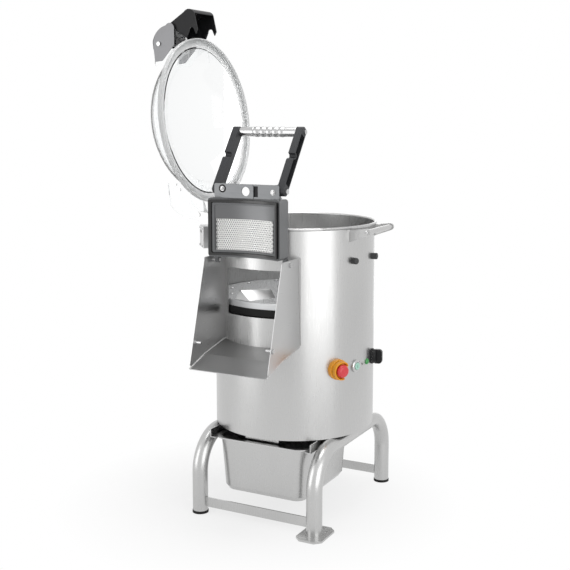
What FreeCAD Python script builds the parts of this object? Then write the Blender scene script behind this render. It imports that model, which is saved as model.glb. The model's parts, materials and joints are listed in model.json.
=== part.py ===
import FreeCAD, Part
import math
import os

# Electric potato peeler: a drum with a spinning abrasive disc, on a tube frame over a peel pan.
# Millimetres, +Z up, origin on the floor under the drum's axis, -Y is the chute side.

V = FreeCAD.Vector

# Drum
drum_r = 250.0             # outside radius of the casing
drum_wall = 1.5
drum_bottom = 263.0
drum_top = 896.0           # height of the rolled rim's centre
bead_r = 4.2
floor_z = 600.0            # upper face of the chamber floor
floor_wall = 4.0
fit = 0.1                  # gap between fixed pieces that touch
run = 0.08                 # radial clearance of a shaft in its bearing
free = 0.4                 # gap between pieces that move past each other

# Doorway in the drum
door_w = 236.0             # width of the door that shuts it
door_half_w = door_w / 2 - 7
door_low = floor_z + 31
door_high = drum_top - 122

# Disc and drive
disc_r = drum_r - 9
disc_top = 674.0
disc_plate = 5.0
disc_rim_h = 19.0
skirt_out = drum_r - 5.5   # outside of the rubber skirt under the disc
skirt_low = 632.0
vane_h = 28.0
shaft_r = 15.0
motor_y = 155.0            # motor axis behind the shaft
motor_r = 72.0
motor_h = 190.0
big_pulley_r = 100.0
small_pulley_r = 36.0
belt_w = 10.0
belt_t = 6.0
pulley_z = floor_z - 78    # middle of the belt
pulley_h = 20.0
motor_top = floor_z - 105
plate_t = 5.0
housing_low = floor_z - 55
bearing_r = 31.0
bearing_h = 16.0
stud_places = [(-96.0, -63.0), (96.0, -63.0), (-88.0, 190.0), (88.0, 190.0)]

# Frame
leg_x = drum_r - 53
leg_y = drum_r + 8
tube_r = 24.0
tube_wall = 2.0
bend_r = 110.0
run_z = drum_bottom - tube_r
bar_h = 30.0
bar_t = 5.0
bar_low = 21.0
foot_t = 6.0
cap_floor = 3.0

# Peel pan
pan_w = 325.0
pan_l = 354.0
pan_y = 184 - drum_r
pan_rim_z = 243.0
pan_lip = 4.0
pan_depth = 171.0
pan_wall = 1.2
rail_t = 2.5

# Duct from the chamber floor to the pan
duct_half_x = 55.0
duct_y0 = 35 - drum_r
duct_y1 = duct_y0 + 60

# Door, drawn open above its hinge
hinge_y = -drum_r - 29
hinge_z = drum_top - 94
hinge_pin_r = 5.0
door_h = door_high - door_low + 30
door_z = hinge_z + 14
door_back_y = hinge_y + 9
door_edge_y = hinge_y - 46
corner_r = 9.0
gasket_w = 7.0
lip_w = 6.0
panel_split = door_z + 112  # where the grater sheet ends and the plain sheet starts
panel_gap = 0.3

# Chute, in (y, z) from its top edge at the drum round to its floor
sheet = 2.0
chute_half_w = door_w / 2 + 11.3
chute_top = hinge_z + 13
lip_y = -drum_r - 168
fold_y = -drum_r - 86
chute_outline = [(20 - drum_r, chute_top), (-drum_r - 80, chute_top - 1), (lip_y, floor_z - 99),
                 (fold_y, floor_z - 71), (34 - drum_r, floor_z - 47)]
floor_line = [(36 - drum_r, floor_z - 49.5), (fold_y, floor_z - 73.5), (lip_y, floor_z - 101)]

# Door handle
pivot_y = hinge_y - 5
pivot_z = door_z + door_h + 22
arm_tilt = 35.2            # backward lean of the arms, degrees
arm_len = 203.0            # pivot to grip
arm_w = 22.0
arm_front = 18.0           # from the pivot line to the arm's notched edge
arm_back = 11.0
arm_wall = 3.0
arm_out_x = door_w / 2
handle_drop = 4.5          # how far the arms slope down when the door is shut, degrees
notch_at = 112.0
notch_front = 13.0         # from the pivot line to the seat of the notch
notch_r = 7.0
keeper_pin_r = 4.5
grip_r = 14.5
bead_count = 5
bead_pitch = 21.0

# Bracket that carries the handle on the door
bracket_y = hinge_y - 27   # front face of its plate
bracket_top = pivot_z + 19
bracket_t = 2.5
ear_x = arm_out_x - arm_w - 3
slot_x = (24.0, 38.0)
hand_hole_r = 13.5
bolt_hole_r = 6.0

# Lid, drawn shut and then turned open about its hinge
lid_hinge_x = -drum_r - 49
lid_hinge_z = drum_top + 14
lid_open = 96.5            # degrees
lid_r = drum_r + 14
lid_face = drum_top + bead_r + 1.5
dome_r = drum_r - 14
dome_h = 134.0
lid_wall = 3.5
skirt_h = 10.0
cheek_y = 62.0             # middle of each cheek plate
cheek_t = 5.0
lug_y = 92.0
lug_t = 6.0
rod_x = drum_r + 35
rod_z = drum_top - 12
rod_r = 8.0
hinge_rod_r = 6.5

# Latch lever, drawn shut with the lid
lever_px = drum_r + 9      # pivot
lever_pz = lid_face + 106.3
lever_wall = 4.0
hook_gap = 1.6

# Controls on the drum: angle from +X in degrees, height
estop_at = (-32.5, 474.5)
start_at = (-15.5, 473.0)
clear_lamp_at = (-6.5, 472.5)
green_lamp_at = (-0.5, 474.0)
timer_at = (11.5, 479.5)
peg_places = [(-19.0, drum_top - 100), (9.5, drum_top - 100)]
switch_at = (-139.0, drum_top - 40.5)
gland_at = (90.0, 320.0)

shell_in = drum_r - drum_wall


def cylinder(r, z0, z1, x=0.0, y=0.0):
    return Part.makeCylinder(r, z1 - z0, V(x, y, z0), V(0, 0, 1))


def tube(r_out, r_in, z0, z1, x=0.0, y=0.0):
    return cylinder(r_out, z0, z1, x, y).cut(cylinder(r_in, z0 - 1, z1 + 1, x, y))


def rod_x_way(r, x0, x1, y, z):
    return Part.makeCylinder(r, x1 - x0, V(x0, y, z), V(1, 0, 0))


def rod_y_way(r, y0, y1, x, z):
    return Part.makeCylinder(r, y1 - y0, V(x, y0, z), V(0, 1, 0))


def block(x0, x1, y0, y1, z0, z1):
    return Part.makeBox(x1 - x0, y1 - y0, z1 - z0, V(x0, y0, z0))


def fused(shapes):
    whole = shapes[0].multiFuse(shapes[1:])
    return whole.removeSplitter()


def turned(points):
    """Solid of revolution about Z from an (r, z) outline; a 3-point entry is an arc."""
    return profile(points, lambda r, z: V(r, 0, z)).revolve(V(0, 0, 0), V(0, 0, 1), 360)


def profile(points, place):
    """Closed face from points; ("arc", mid, end) goes on from the last point as an arc."""
    edges = []
    last = points[0]
    for item in points[1:] + [points[0]]:
        if item[0] == "arc":
            edges.append(Part.Arc(place(*last), place(*item[1]), place(*item[2])).toShape())
            last = item[2]
        elif item != last:
            edges.append(Part.makeLine(place(*last), place(*item)))
            last = item
    return Part.Face(Part.Wire(edges))


def plate_yz(points, x0, x1):
    return profile(points, lambda y, z: V(x0, y, z)).extrude(V(x1 - x0, 0, 0))


def plate_xz(points, y0, y1):
    return profile(points, lambda x, z: V(x, y0, z)).extrude(V(0, y1 - y0, 0))


def rounded_rect(half_x, half_y, r, z, y=0.0):
    """Wire of a rectangle with round corners, level at height z."""
    corners = [(half_x - r, half_y - r, 0), (r - half_x, half_y - r, 90),
               (r - half_x, r - half_y, 180), (half_x - r, r - half_y, 270)]
    edges = []
    for cx, cy, start in corners:
        circle = Part.Circle(V(cx, cy + y, z), V(0, 0, 1), r)
        arc = Part.ArcOfCircle(circle, math.radians(start), math.radians(start + 90))
        if edges:
            edges.append(Part.makeLine(edges[-1].Vertexes[-1].Point, arc.StartPoint))
        edges.append(arc.toShape())
    edges.append(Part.makeLine(edges[-1].Vertexes[-1].Point, edges[0].Vertexes[0].Point))
    return Part.Wire(edges)


def on_drum(shape, place):
    """Carry a piece drawn on the X axis round to its angle and height on the drum."""
    angle, height = place
    moved = shape.copy()
    moved.translate(V(0, 0, height))
    moved.rotate(V(0, 0, 0), V(0, 0, 1), angle)
    return moved


def with_lid(shape):
    """Turn a piece drawn on the shut lid to where it stands with the lid open."""
    moved = shape.copy()
    moved.rotate(V(lid_hinge_x, 0, lid_hinge_z), V(0, 1, 0), -lid_open)
    return moved


pieces = {}


def save(name, *shapes):
    pieces[name] = shapes[0] if len(shapes) == 1 else Part.makeCompound(list(shapes))


def export():
    """Write every piece with the origin moved under the middle of the whole."""
    box = Part.makeCompound(list(pieces.values())).BoundBox
    shift = V(-box.Center.x, -box.Center.y, -box.ZMin)
    print("shift", [round(c, 4) for c in shift])
    for name, shape in pieces.items():
        moved = shape.copy()
        moved.translate(shift)
        moved.exportStep("parts/%s.step" % name)


# Frame

def side_frame(side):
    """One tube bent to an upside-down U, standing on the floor at both ends."""
    x = side * leg_x
    front_foot = foot_t if side > 0 else cap_floor
    turn = bend_r * (1 - math.sqrt(0.5))
    path = Part.Wire([
        Part.makeLine(V(x, -leg_y, front_foot), V(x, -leg_y, run_z - bend_r)),
        Part.Arc(V(x, -leg_y, run_z - bend_r), V(x, turn - leg_y, run_z - turn),
                 V(x, bend_r - leg_y, run_z)).toShape(),
        Part.makeLine(V(x, bend_r - leg_y, run_z), V(x, leg_y - bend_r, run_z)),
        Part.Arc(V(x, leg_y - bend_r, run_z), V(x, leg_y - turn, run_z - turn),
                 V(x, leg_y, run_z - bend_r)).toShape(),
        Part.makeLine(V(x, leg_y, run_z - bend_r), V(x, leg_y, cap_floor))])
    solids = []
    for r in (tube_r, tube_r - tube_wall):
        ring = Part.Wire(Part.makeCircle(r, V(x, -leg_y, front_foot), V(0, 0, 1)))
        solids.append(path.makePipeShell([ring], True, False))
    return solids[0].cut(solids[1])


def stretcher(side):
    """Flat bar welded between the two frames, its ends cut to the tubes."""
    bar = block(-leg_x, leg_x, side * leg_y - bar_t / 2, side * leg_y + bar_t / 2, bar_low, bar_low + bar_h)
    for x in (-leg_x, leg_x):
        bar = bar.cut(cylinder(tube_r + fit, 0, 100, x, side * leg_y))
    return bar


def foot_plate():
    """Floor plate under the front right leg, with a hole for an anchor bolt."""
    x0, x1, y0, y1, cut = leg_x - 39, leg_x + 45, -leg_y - 60, -leg_y + 62, 18
    outline = [(x0 + cut, y0), (x1 - cut, y0), (x1, y0 + cut), (x1, y1 - cut),
               (x1 - cut, y1), (x0 + cut, y1), (x0, y1 - cut), (x0, y0 + cut)]
    plate = profile(outline, lambda x, y: V(x, y, 0)).extrude(V(0, 0, foot_t))
    return plate.cut(cylinder(5.5, -1, foot_t + 1, leg_x + 4, -leg_y + 44))


def foot_cap(x, y):
    cup = cylinder(tube_r + 1.2, 0, 8, x, y)
    rim = [e for e in cup.Edges if e.BoundBox.ZMin > 7]
    return cup.makeFillet(1.0, rim).cut(cylinder(tube_r + fit / 2, cap_floor, 30, x, y))


def pan_rail(side):
    """Angle that the pan's rim slides on, with a stop at its back end."""
    outer = leg_x - tube_r - fit / 2
    inner = pan_w / 2 - 8
    top = pan_rim_z - pan_lip - 0.3
    low = top - rail_t
    y0, y1 = pan_y - pan_l / 2 + 8, pan_y + pan_l / 2 + 6
    shapes = [block(outer - rail_t, outer, y0, y1, low, drum_bottom - 1),
              block(inner, outer, y0, y1, low, top),
              block(inner, outer, y1 - rail_t, y1, low, top + 8)]
    rail = fused(shapes)
    return rail if side > 0 else rail.mirror(V(0, 0, 0), V(1, 0, 0))


def saddle(x, y):
    """Pad welded on the frame's top run to seat the drum's base."""
    pad = block(x - 14, x + 14, y - 22, y + 22, run_z + tube_r - 8, drum_bottom - fit)
    return pad.cut(rod_y_way(tube_r + fit, y - 30, y + 30, math.copysign(leg_x, x), run_z))


# Peel pan

def peel_pan():
    """Drawn steel pan with sloping sides and a turned rim."""
    half_w, half_l = pan_w / 2, pan_l / 2
    base_z = pan_rim_z - pan_depth

    def body(inset):
        top = rounded_rect(half_w - 11 - inset, half_l - 11 - inset, 40 - inset, pan_rim_z, pan_y)
        knee = rounded_rect(half_w - 21 - inset, half_l - 21 - inset, 38 - inset, base_z + 14 + inset, pan_y)
        base = rounded_rect(half_w - 31 - inset, half_l - 31 - inset, 30 - inset, base_z + inset, pan_y)
        return Part.makeLoft([base, knee, top], True, True)

    rim = Part.Face(rounded_rect(half_w, half_l, 46, pan_rim_z - pan_lip, pan_y)).extrude(V(0, 0, pan_lip))
    under = Part.Face(rounded_rect(half_w - 1.6, half_l - 1.6, 44.4, pan_rim_z - 8, pan_y))
    rim = rim.cut(under.extrude(V(0, 0, 8 - pan_wall)))
    whole = rim.fuse(body(0.0))
    mouth = Part.Face(rounded_rect(half_w - 11 - pan_wall, half_l - 11 - pan_wall, 40 - pan_wall,
                                   pan_rim_z - 0.5, pan_y)).extrude(V(0, 0, 2))
    return whole.cut(body(pan_wall)).cut(mouth)


# Drum

def wall_ring(r_out, r_in, z0, z1):
    return turned([(r_in, z0), (r_out, z0), (r_out, z1), (r_in, z1)])


def doorway(grow):
    """Block that cuts the doorway, with round corners."""
    hole = block(-door_half_w - grow, door_half_w + grow, -drum_r - 40, -drum_r + 60,
                 door_low - grow, door_high + grow)
    edges = [e for e in hole.Edges if abs(e.BoundBox.YLength - 100) < 0.01]
    return hole.makeFillet(5 + grow, edges)


def casing():
    """Rolled and seamed casing with a wired rim, the doorway and the control holes."""
    wall = wall_ring(drum_r, shell_in, drum_bottom, drum_top)
    bead = Part.makeTorus(drum_r + bead_r - 0.8, bead_r, V(0, 0, drum_top))
    skin = wall.fuse(bead).cut(doorway(0.0))
    for place, r in ((estop_at, 11.3), (start_at, 11.3), (timer_at, 5.5),
                     (clear_lamp_at, 3.2), (green_lamp_at, 6.2)):
        hole = Part.makeCylinder(r, 30, V(shell_in - 10, 0, 0), V(1, 0, 0))
        skin = skin.cut(on_drum(hole, place))
    return skin


def duct_hole(grow, z0, z1):
    return block(-duct_half_x - grow, duct_half_x + grow, duct_y0 - grow, duct_y1 + grow, z0, z1)


def chamber_floor():
    plate = cylinder(shell_in - fit, floor_z - floor_wall, floor_z)
    plate = plate.cut(cylinder(bearing_r + fit, floor_z - 10, floor_z + 10))
    plate = plate.cut(duct_hole(sheet + fit, floor_z - 10, floor_z + 10))
    return plate


def peel_duct():
    """Square duct that carries water and peel down through the base to the pan."""
    outer = duct_hole(sheet, pan_rim_z + 3, floor_z)
    return outer.cut(duct_hole(0.0, pan_rim_z, floor_z + 1))


def base_plate():
    plate = cylinder(shell_in - fit, drum_bottom, drum_bottom + 3)
    plate = plate.cut(duct_hole(sheet + fit, 200, 300))
    for i in range(8):
        slot = block(-4, 4, drum_r - 85, drum_r - 35, 200, 300)
        slot.rotate(V(0, 0, 0), V(0, 0, 1), 12 * i - 42)
        plate = plate.cut(slot)
    return plate


# Drive

def bearing_housing():
    """Turned housing hung under the chamber floor."""
    low, bore = housing_low, bearing_r + fit / 2
    outline = [(bore - 6, low), (44, low), (44, floor_z - 14), (62, floor_z - floor_wall - 8),
               (62, floor_z - floor_wall - fit), (bore - 6, floor_z - floor_wall - fit)]
    body = turned(outline)
    for z0 in (low, floor_z - floor_wall - bearing_h - fit):
        body = body.cut(cylinder(bore, z0 - 0.01, z0 + bearing_h + 0.02))
    return body


def bearing(z0):
    """Deep-groove bearing drawn as its two rings and the cage between."""
    inner, outer = shaft_r + 5, bearing_r - 5
    top = z0 + bearing_h - 0.2
    outline = [(shaft_r + run, z0), (inner, z0), (inner, z0 + 1), (outer, z0 + 1), (outer, z0),
               (bearing_r, z0), (bearing_r, top), (outer, top), (outer, top - 1), (inner, top - 1),
               (inner, top), (shaft_r + run, top)]
    return turned(outline)


def shaft_seal():
    low = floor_z - floor_wall + fit
    return turned([(shaft_r + run, low), (bearing_r, low), (bearing_r, floor_z + 2),
                   (22, floor_z + 6), (shaft_r + run, floor_z + 6)])


def pulley(r, bore, y):
    """Grooved pulley; the belt runs on the groove's floor."""
    groove = r - belt_t - 2
    low, high = pulley_z - pulley_h / 2, pulley_z + pulley_h / 2
    g0, g1 = pulley_z - belt_w / 2 - 0.5, pulley_z + belt_w / 2 + 0.5
    body = turned([(bore, low), (r, low), (r, g0), (groove, g0),
                   (groove, g1), (r, g1), (r, high), (bore, high)])
    if r > 60:
        for i in range(6):
            hole = cylinder(16, low - 1, high + 1, 55, 0)
            hole.rotate(V(0, 0, 0), V(0, 0, 1), 60 * i)
            body = body.cut(hole)
    body.translate(V(0, y, 0))
    return body


def belt_loop(r_big, r_small, z0, z1):
    """Belt outline round both pulleys, straight between them."""
    a = math.asin((r_big - r_small) / motor_y)
    c, s = math.cos(a), math.sin(a)
    big_r, big_l = V(r_big * c, r_big * s, z0), V(-r_big * c, r_big * s, z0)
    sml_r, sml_l = V(r_small * c, motor_y + r_small * s, z0), V(-r_small * c, motor_y + r_small * s, z0)
    wire = Part.Wire([Part.Arc(big_l, V(0, -r_big, z0), big_r).toShape(),
                      Part.makeLine(big_r, sml_r),
                      Part.Arc(sml_r, V(0, motor_y + r_small, z0), sml_l).toShape(),
                      Part.makeLine(sml_l, big_l)])
    return Part.Face(wire).extrude(V(0, 0, z1 - z0))


def drive_belt():
    big, small = big_pulley_r - belt_t - 2 + free, small_pulley_r - belt_t - 2 + free
    z0, z1 = pulley_z - belt_w / 2, pulley_z + belt_w / 2
    return belt_loop(big + belt_t, small + belt_t, z0, z1).cut(belt_loop(big, small, z0 - 1, z1 + 1))


def motor_body():
    """Finned motor with a flange that bolts up to its plate."""
    low = motor_top - motor_h
    barrel = cylinder(motor_r - 8, low, motor_top - 12, 0, motor_y)
    shapes = [barrel, cylinder(motor_r, motor_top - 12, motor_top - fit, 0, motor_y)]
    for i in range(16):
        fin = block(motor_r - 10, motor_r - 1, -1.5, 1.5, low + 25, motor_top - 12)
        fin.rotate(V(0, 0, 0), V(0, 0, 1), 360.0 / 16 * i)
        fin.translate(V(0, motor_y, 0))
        shapes.append(fin)
    body = fused(shapes)
    return body.cut(cylinder(12, motor_top - 30, motor_top + 1, 0, motor_y))


def motor_plate():
    plate = cylinder(shell_in - 6, motor_top, motor_top + plate_t)
    plate = plate.common(block(-108, 108, -76, 240, motor_top - 1, motor_top + 20))
    plate = plate.cut(cylinder(14, motor_top - 1, motor_top + 20, 0, motor_y))
    return plate.cut(cylinder(22, motor_top - 1, motor_top + 20))


def standoff(x, y):
    return cylinder(7, motor_top + plate_t, floor_z - floor_wall, x, y)


def drive_shaft():
    low = pulley_z - pulley_h / 2 - 6
    return turned([(0, low), (shaft_r - 1, low), (shaft_r, low + 1), (shaft_r, disc_top - disc_plate - 6),
                   (10, disc_top - disc_plate - 6), (10, disc_top + 10), (0, disc_top + 10)])


def motor_shaft():
    return cylinder(9, motor_top - 25, pulley_z + pulley_h / 2 + 3, 0, motor_y)


# Disc

def abrasive_disc():
    """Disc with a turned-down rim, a hub below and two rings of bolt holes."""
    under = disc_top - disc_plate
    outline = [(10, under - 6), (48, under - 6), (60, under), (disc_r - 2, under),
               (disc_r - 2, disc_top - disc_rim_h), (disc_r, disc_top - disc_rim_h), (disc_r, disc_top - 3),
               ("arc", (disc_r - 0.9, disc_top - 0.9), (disc_r - 3, disc_top)), (10, disc_top)]
    disc = turned(outline)
    for ring_r, count in ((95, 6), (disc_r - 36, 12)):
        for i in range(count):
            a = 2 * math.pi * (i + 0.5) / count
            hole = cylinder(5, under - 1, disc_top + 1, ring_r * math.cos(a), ring_r * math.sin(a))
            disc = disc.cut(hole)
    return disc


def disc_skirt():
    """Rubber band under the disc's rim that keeps peel off the floor's edge."""
    rim = disc_top - disc_rim_h
    return turned([(disc_r - 14, skirt_low), (skirt_out - 1, skirt_low), (skirt_out, skirt_low + 2),
                   (skirt_out, rim - fit), (disc_r - 2 - fit, rim - fit), (disc_r - 2 - fit, rim + 10),
                   (disc_r - 6, rim + 10), (disc_r - 6, skirt_low + 8), (disc_r - 14, skirt_low + 8)])


def vane(turn):
    """Cast wedge near the disc's edge that lifts and turns the load, with a ridge along its top."""
    low, high, ridge = disc_top + fit, disc_top + vane_h, 4.0
    edge = -disc_r
    foot = [(-92, edge + 27), (-34, edge + 11), (6, edge + 101), (-52, edge + 123)]
    crest = [(-76 - ridge, edge + 29), (-76 + ridge, edge + 25),
             (ridge - 8, edge + 89), (-8 - ridge, edge + 93)]
    wires = []
    for corners, z in ((foot, low), (crest, high)):
        wires.append(Part.makePolygon([V(x, y, z) for x, y in corners + corners[:1]]))
    body = Part.makeLoft(wires, True, True)
    body.rotate(V(0, 0, 0), V(0, 0, 1), turn)
    return body


def hub_cap():
    top = disc_top + fit
    return turned([(10 + fit, top), (24, top), ("arc", (20, top + 9), (8, top + 14)), (0, top + 14),
                   (0, top + 10.5), (10 + fit, top + 10.5)])


def disc_screws():
    """Cap screws that hold the vanes' feet and the hub flange."""
    screws = []
    for i in range(3):
        a = math.radians(30 + 120 * i)
        x, y = 40 * math.cos(a), 40 * math.sin(a)
        screws.append(cylinder(5, disc_top + 0.05, disc_top + 4, x, y))
    return screws


# Chute

def chute_side(side):
    x0, x1 = (chute_half_w - sheet, chute_half_w) if side > 0 else (-chute_half_w, sheet - chute_half_w)
    plate = plate_yz(chute_outline, x0, x1)
    corners = [e for e in plate.Edges if e.BoundBox.XLength > sheet / 2
               and e.BoundBox.YMin < -drum_r - 70 and e.BoundBox.ZMin > floor_z - 120]
    plate = plate.makeFillet(7, [e for e in corners if e.BoundBox.YLength < 0.1])
    plate = plate.cut(cylinder(drum_r + fit, floor_z - 200, drum_top))
    plate = plate.cut(rod_x_way(hinge_pin_r + fit, x0 - 5, x1 + 5, hinge_y, hinge_z))
    return plate.cut(rod_x_way(keeper_pin_r + fit, x0 - 5, x1 + 5, keeper_y, keeper_z))


def chute_floor():
    """Folded floor that slopes to the pouring lip."""
    upper = floor_line
    lower = [(y, z - sheet) for y, z in reversed(upper)]
    wide = chute_half_w - sheet - fit
    tray = plate_yz(upper + lower, -wide, wide)
    return tray.cut(cylinder(drum_r + fit, floor_z - 200, drum_top))


def keeper_pin(side):
    """Pin in the chute's side that the handle's notch drops over."""
    inner, outer = chute_half_w - 22, chute_half_w + 3
    pin = rod_x_way(keeper_pin_r, inner, chute_half_w + 1, keeper_y, keeper_z)
    head = rod_x_way(8, chute_half_w + 0.05, outer, keeper_y, keeper_z)
    collar = rod_x_way(7, chute_half_w - sheet - 2.5, chute_half_w - sheet - 0.05, keeper_y, keeper_z)
    whole = fused([pin, head, collar])
    return whole if side > 0 else whole.mirror(V(0, 0, 0), V(1, 0, 0))


def door_pivot_bolt(side):
    inner = door_w / 2 - 12
    pin = rod_x_way(hinge_pin_r, inner, chute_half_w + 1, hinge_y, hinge_z)
    head = rod_x_way(8.5, chute_half_w + 0.05, chute_half_w + 4, hinge_y, hinge_z)
    whole = fused([pin, head])
    return whole if side > 0 else whole.mirror(V(0, 0, 0), V(1, 0, 0))


# Door. Its face follows the drum, so its curve is centred on the drum's axis when shut.

face_axis_y = 2 * hinge_y
face_r = math.hypot(door_w / 2, face_axis_y - door_edge_y)


def face_tube(r_out, r_in):
    return tube(r_out, r_in, door_z - 5, door_z + door_h + 5, 0, face_axis_y)


def face_frame(inset, width, deep):
    """Rectangular ring on the door's face, standing proud of it by deep."""
    outer = door_prism(inset)
    inner = door_prism(inset + width)
    return outer.cut(inner).common(face_tube(face_r, face_r - deep))


def door_prism(inset):
    half, r = door_w / 2 - inset, max(corner_r - inset, 4)
    box = block(-half, half, door_edge_y - 20, door_back_y, door_z + inset, door_z + door_h - inset)
    edges = [e for e in box.Edges if e.BoundBox.YLength > 40]
    return box.makeFillet(r, edges)


def door_casting():
    """Moulded door with a face curved to the drum, hinge ears and a raised lip round its centre."""
    body = door_prism(0.0).common(face_tube(2 * face_r, face_r))
    back = [e for e in body.Edges if abs(e.BoundBox.YMin - door_back_y) < 0.1 and e.BoundBox.YLength < 0.1]
    body = body.makeFillet(3.0, back)
    body = body.fuse(face_frame(gasket_w + 7, lip_w, 6.0))
    ears = []
    for side in (-1, 1):
        x0 = side * (door_w / 2 - 5) - 5
        ear = block(x0, x0 + 10, hinge_y - 9, door_back_y, hinge_z, door_z + 2)
        ear = ear.fuse(rod_x_way(9, x0, x0 + 10, hinge_y, hinge_z))
        ears.append(ear.cut(rod_x_way(hinge_pin_r + run, x0 - 1, x0 + 11, hinge_y, hinge_z)))
    return fused([body] + ears)


def door_gasket():
    ring = face_frame(6.0, gasket_w, 9.5)
    return ring.common(face_tube(face_r - 0.2, face_r - 10))


def door_panel(low, high, proud):
    """Curved sheet inside the raised lip, between two heights."""
    inset = gasket_w + lip_w + 7 + panel_gap
    sheet_band = face_tube(face_r - panel_gap, face_r - panel_gap - proud)
    slab = block(-door_w, door_w, door_edge_y - 75, door_back_y + 70, low, high)
    return sheet_band.common(door_prism(inset)).common(slab)


def door_bracket():
    """Folded channel on the door's end that carries the handle, with a doubling plate and two holes."""
    low = door_z + door_h + fit
    y0, y1, t = bracket_y, hinge_y + 17, bracket_t
    plate = block(-ear_x - 14, ear_x + 14, y0, y0 + t, low, bracket_top)
    corners = [e for e in plate.Edges if e.BoundBox.YLength > t / 2 and e.BoundBox.ZMin > bracket_top - 1]
    doubler = block(-ear_x + 10, slot_x[0], y0 - 1.5, y0, low, bracket_top)
    round_end = [e for e in doubler.Edges if e.BoundBox.YLength > 1 and e.BoundBox.XMin > 0
                 and e.BoundBox.ZMin > bracket_top - 1]
    shapes = [plate.makeFillet(5, corners), doubler.makeFillet(9, round_end),
              block(-ear_x, ear_x, y0, y1, low, low + t)]
    for side in (-1, 1):
        x0 = side * (ear_x - t / 2) - t / 2
        ear = block(x0, x0 + t, y0, y1 - 6, low, bracket_top)
        top = [e for e in ear.Edges if e.BoundBox.XLength > t / 2 and e.BoundBox.ZMin > bracket_top - 1
               and e.BoundBox.YMin > y0 + 5]
        shapes.append(ear.makeFillet(12, top))
    body = fused(shapes)
    body = body.cut(rod_y_way(hand_hole_r, y0 - 5, y0 + 5, -2, pivot_z - 2))
    body = body.cut(block(slot_x[0], slot_x[1], y0 - 5, y0 + 4, low + 5, bracket_top - 5))
    body = body.cut(rod_y_way(bolt_hole_r, y0 - 5, y0 + 5, ear_x - 6, pivot_z - 2))
    return body.cut(rod_x_way(5 + fit, -150, 150, pivot_y, pivot_z))


def bracket_block():
    """Plastic block behind the bracket's slot."""
    low = door_z + door_h + fit + bracket_t + 0.2
    y0 = bracket_y + bracket_t + 0.1
    return block(slot_x[0] - 5, slot_x[1] + 5, y0, y0 + 14, low, bracket_top - 1)


# Handle, drawn upright on its pivot and then leaned back

def leaned(shape):
    moved = shape.copy()
    moved.rotate(V(0, pivot_y, pivot_z), V(1, 0, 0), -arm_tilt)
    return moved


def arm(side):
    """Channel-section arm, open on its outer side, with the notch that takes the keeper pin."""
    x0, x1 = arm_out_x - arm_w, arm_out_x
    y0, y1 = pivot_y - arm_front, pivot_y + arm_back
    body = block(x0, x1, y0, y1, pivot_z - 14, pivot_z + arm_len + 12)
    body = body.makeFillet(11, [e for e in body.Edges if e.BoundBox.XLength > arm_w / 2])
    body = body.makeFillet(1.5, [e for e in body.Edges if e.BoundBox.XMin > x1 - 0.1])
    seat_y, seat_z = pivot_y - notch_front, pivot_z + notch_at

    def notch(wall):
        r = notch_r + wall
        seat = rod_x_way(r, x0 - 1, x1 + 1, seat_y, seat_z)
        mouth = [(seat_y, seat_z + r), (y0 - 1, seat_z + r), (y0 - 1, seat_z - r - 8), (seat_y, seat_z - r)]
        return seat.fuse(plate_yz(mouth, x0 - 1, x1 + 1))

    well = block(x0 + arm_wall, x1 + 1, y0 + arm_wall, y1 - arm_wall, pivot_z + 17, pivot_z + arm_len - 15)
    well = well.makeFillet(4, [e for e in well.Edges if e.BoundBox.XLength > arm_w / 2])
    body = body.cut(well.cut(notch(arm_wall))).cut(notch(0.0))
    body = body.cut(rod_x_way(5 + run, x0 - 1, x1 + 1, pivot_y, pivot_z))
    body = body.cut(rod_x_way(4 + fit, x0 - 1, x1 + 1, pivot_y, pivot_z + arm_len))
    return leaned(body) if side > 0 else leaned(body.mirror(V(0, 0, 0), V(1, 0, 0)))


def grip():
    """Turned aluminium bar with finger beads in its middle."""
    half = arm_out_x - arm_w - fit
    points = [(-half, 0.0), (-half, grip_r), (-bead_count * bead_pitch / 2, grip_r)]
    for i in range(bead_count):
        x0 = (i - bead_count / 2) * bead_pitch
        points.append(("arc", (x0 + 2.2, grip_r - 1.6), (x0 + 4.4, grip_r)))
        points.append(("arc", (x0 + bead_pitch / 2 + 2.2, grip_r + 1.4), (x0 + bead_pitch, grip_r)))
    points += [(half, grip_r), (half, 0.0)]
    outline = profile(points, lambda x, r: V(x, pivot_y - r, pivot_z + arm_len))
    bar = outline.revolve(V(0, pivot_y, pivot_z + arm_len), V(1, 0, 0), 360)
    return leaned(bar.cut(rod_x_way(4 + fit, -half - 1, half + 1, pivot_y, pivot_z + arm_len)))


def grip_rod():
    """Tie rod through the grip and both arms, with a dome nut at each end."""
    z = pivot_z + arm_len
    shapes = [rod_x_way(4, -arm_out_x - 1, arm_out_x + 1, pivot_y, z)]
    for side in (-1, 1):
        x0 = arm_out_x + 0.05 if side > 0 else -arm_out_x - 4.05
        shapes.append(rod_x_way(7, x0, x0 + 4, pivot_y, z))
    return leaned(fused(shapes))


def handle_bolt(side):
    """Pivot bolt fixed in the bracket's ear; the arm turns on it."""
    inner, outer = ear_x - 9, arm_out_x + 1
    pin = rod_x_way(5, inner, outer, pivot_y, pivot_z)
    head = rod_x_way(8, arm_out_x + free, arm_out_x + 5, pivot_y, pivot_z)
    nut = rod_x_way(8, inner, ear_x - bracket_t - fit, pivot_y, pivot_z)
    whole = fused([pin, head, nut])
    return whole if side > 0 else whole.mirror(V(0, 0, 0), V(1, 0, 0))


drop = math.radians(handle_drop)
keeper_y = 2 * hinge_y - pivot_y - notch_at * math.cos(drop) + notch_front * math.sin(drop)
keeper_z = 2 * hinge_z - pivot_z - notch_at * math.sin(drop) - notch_front * math.cos(drop)


# Lid

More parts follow.
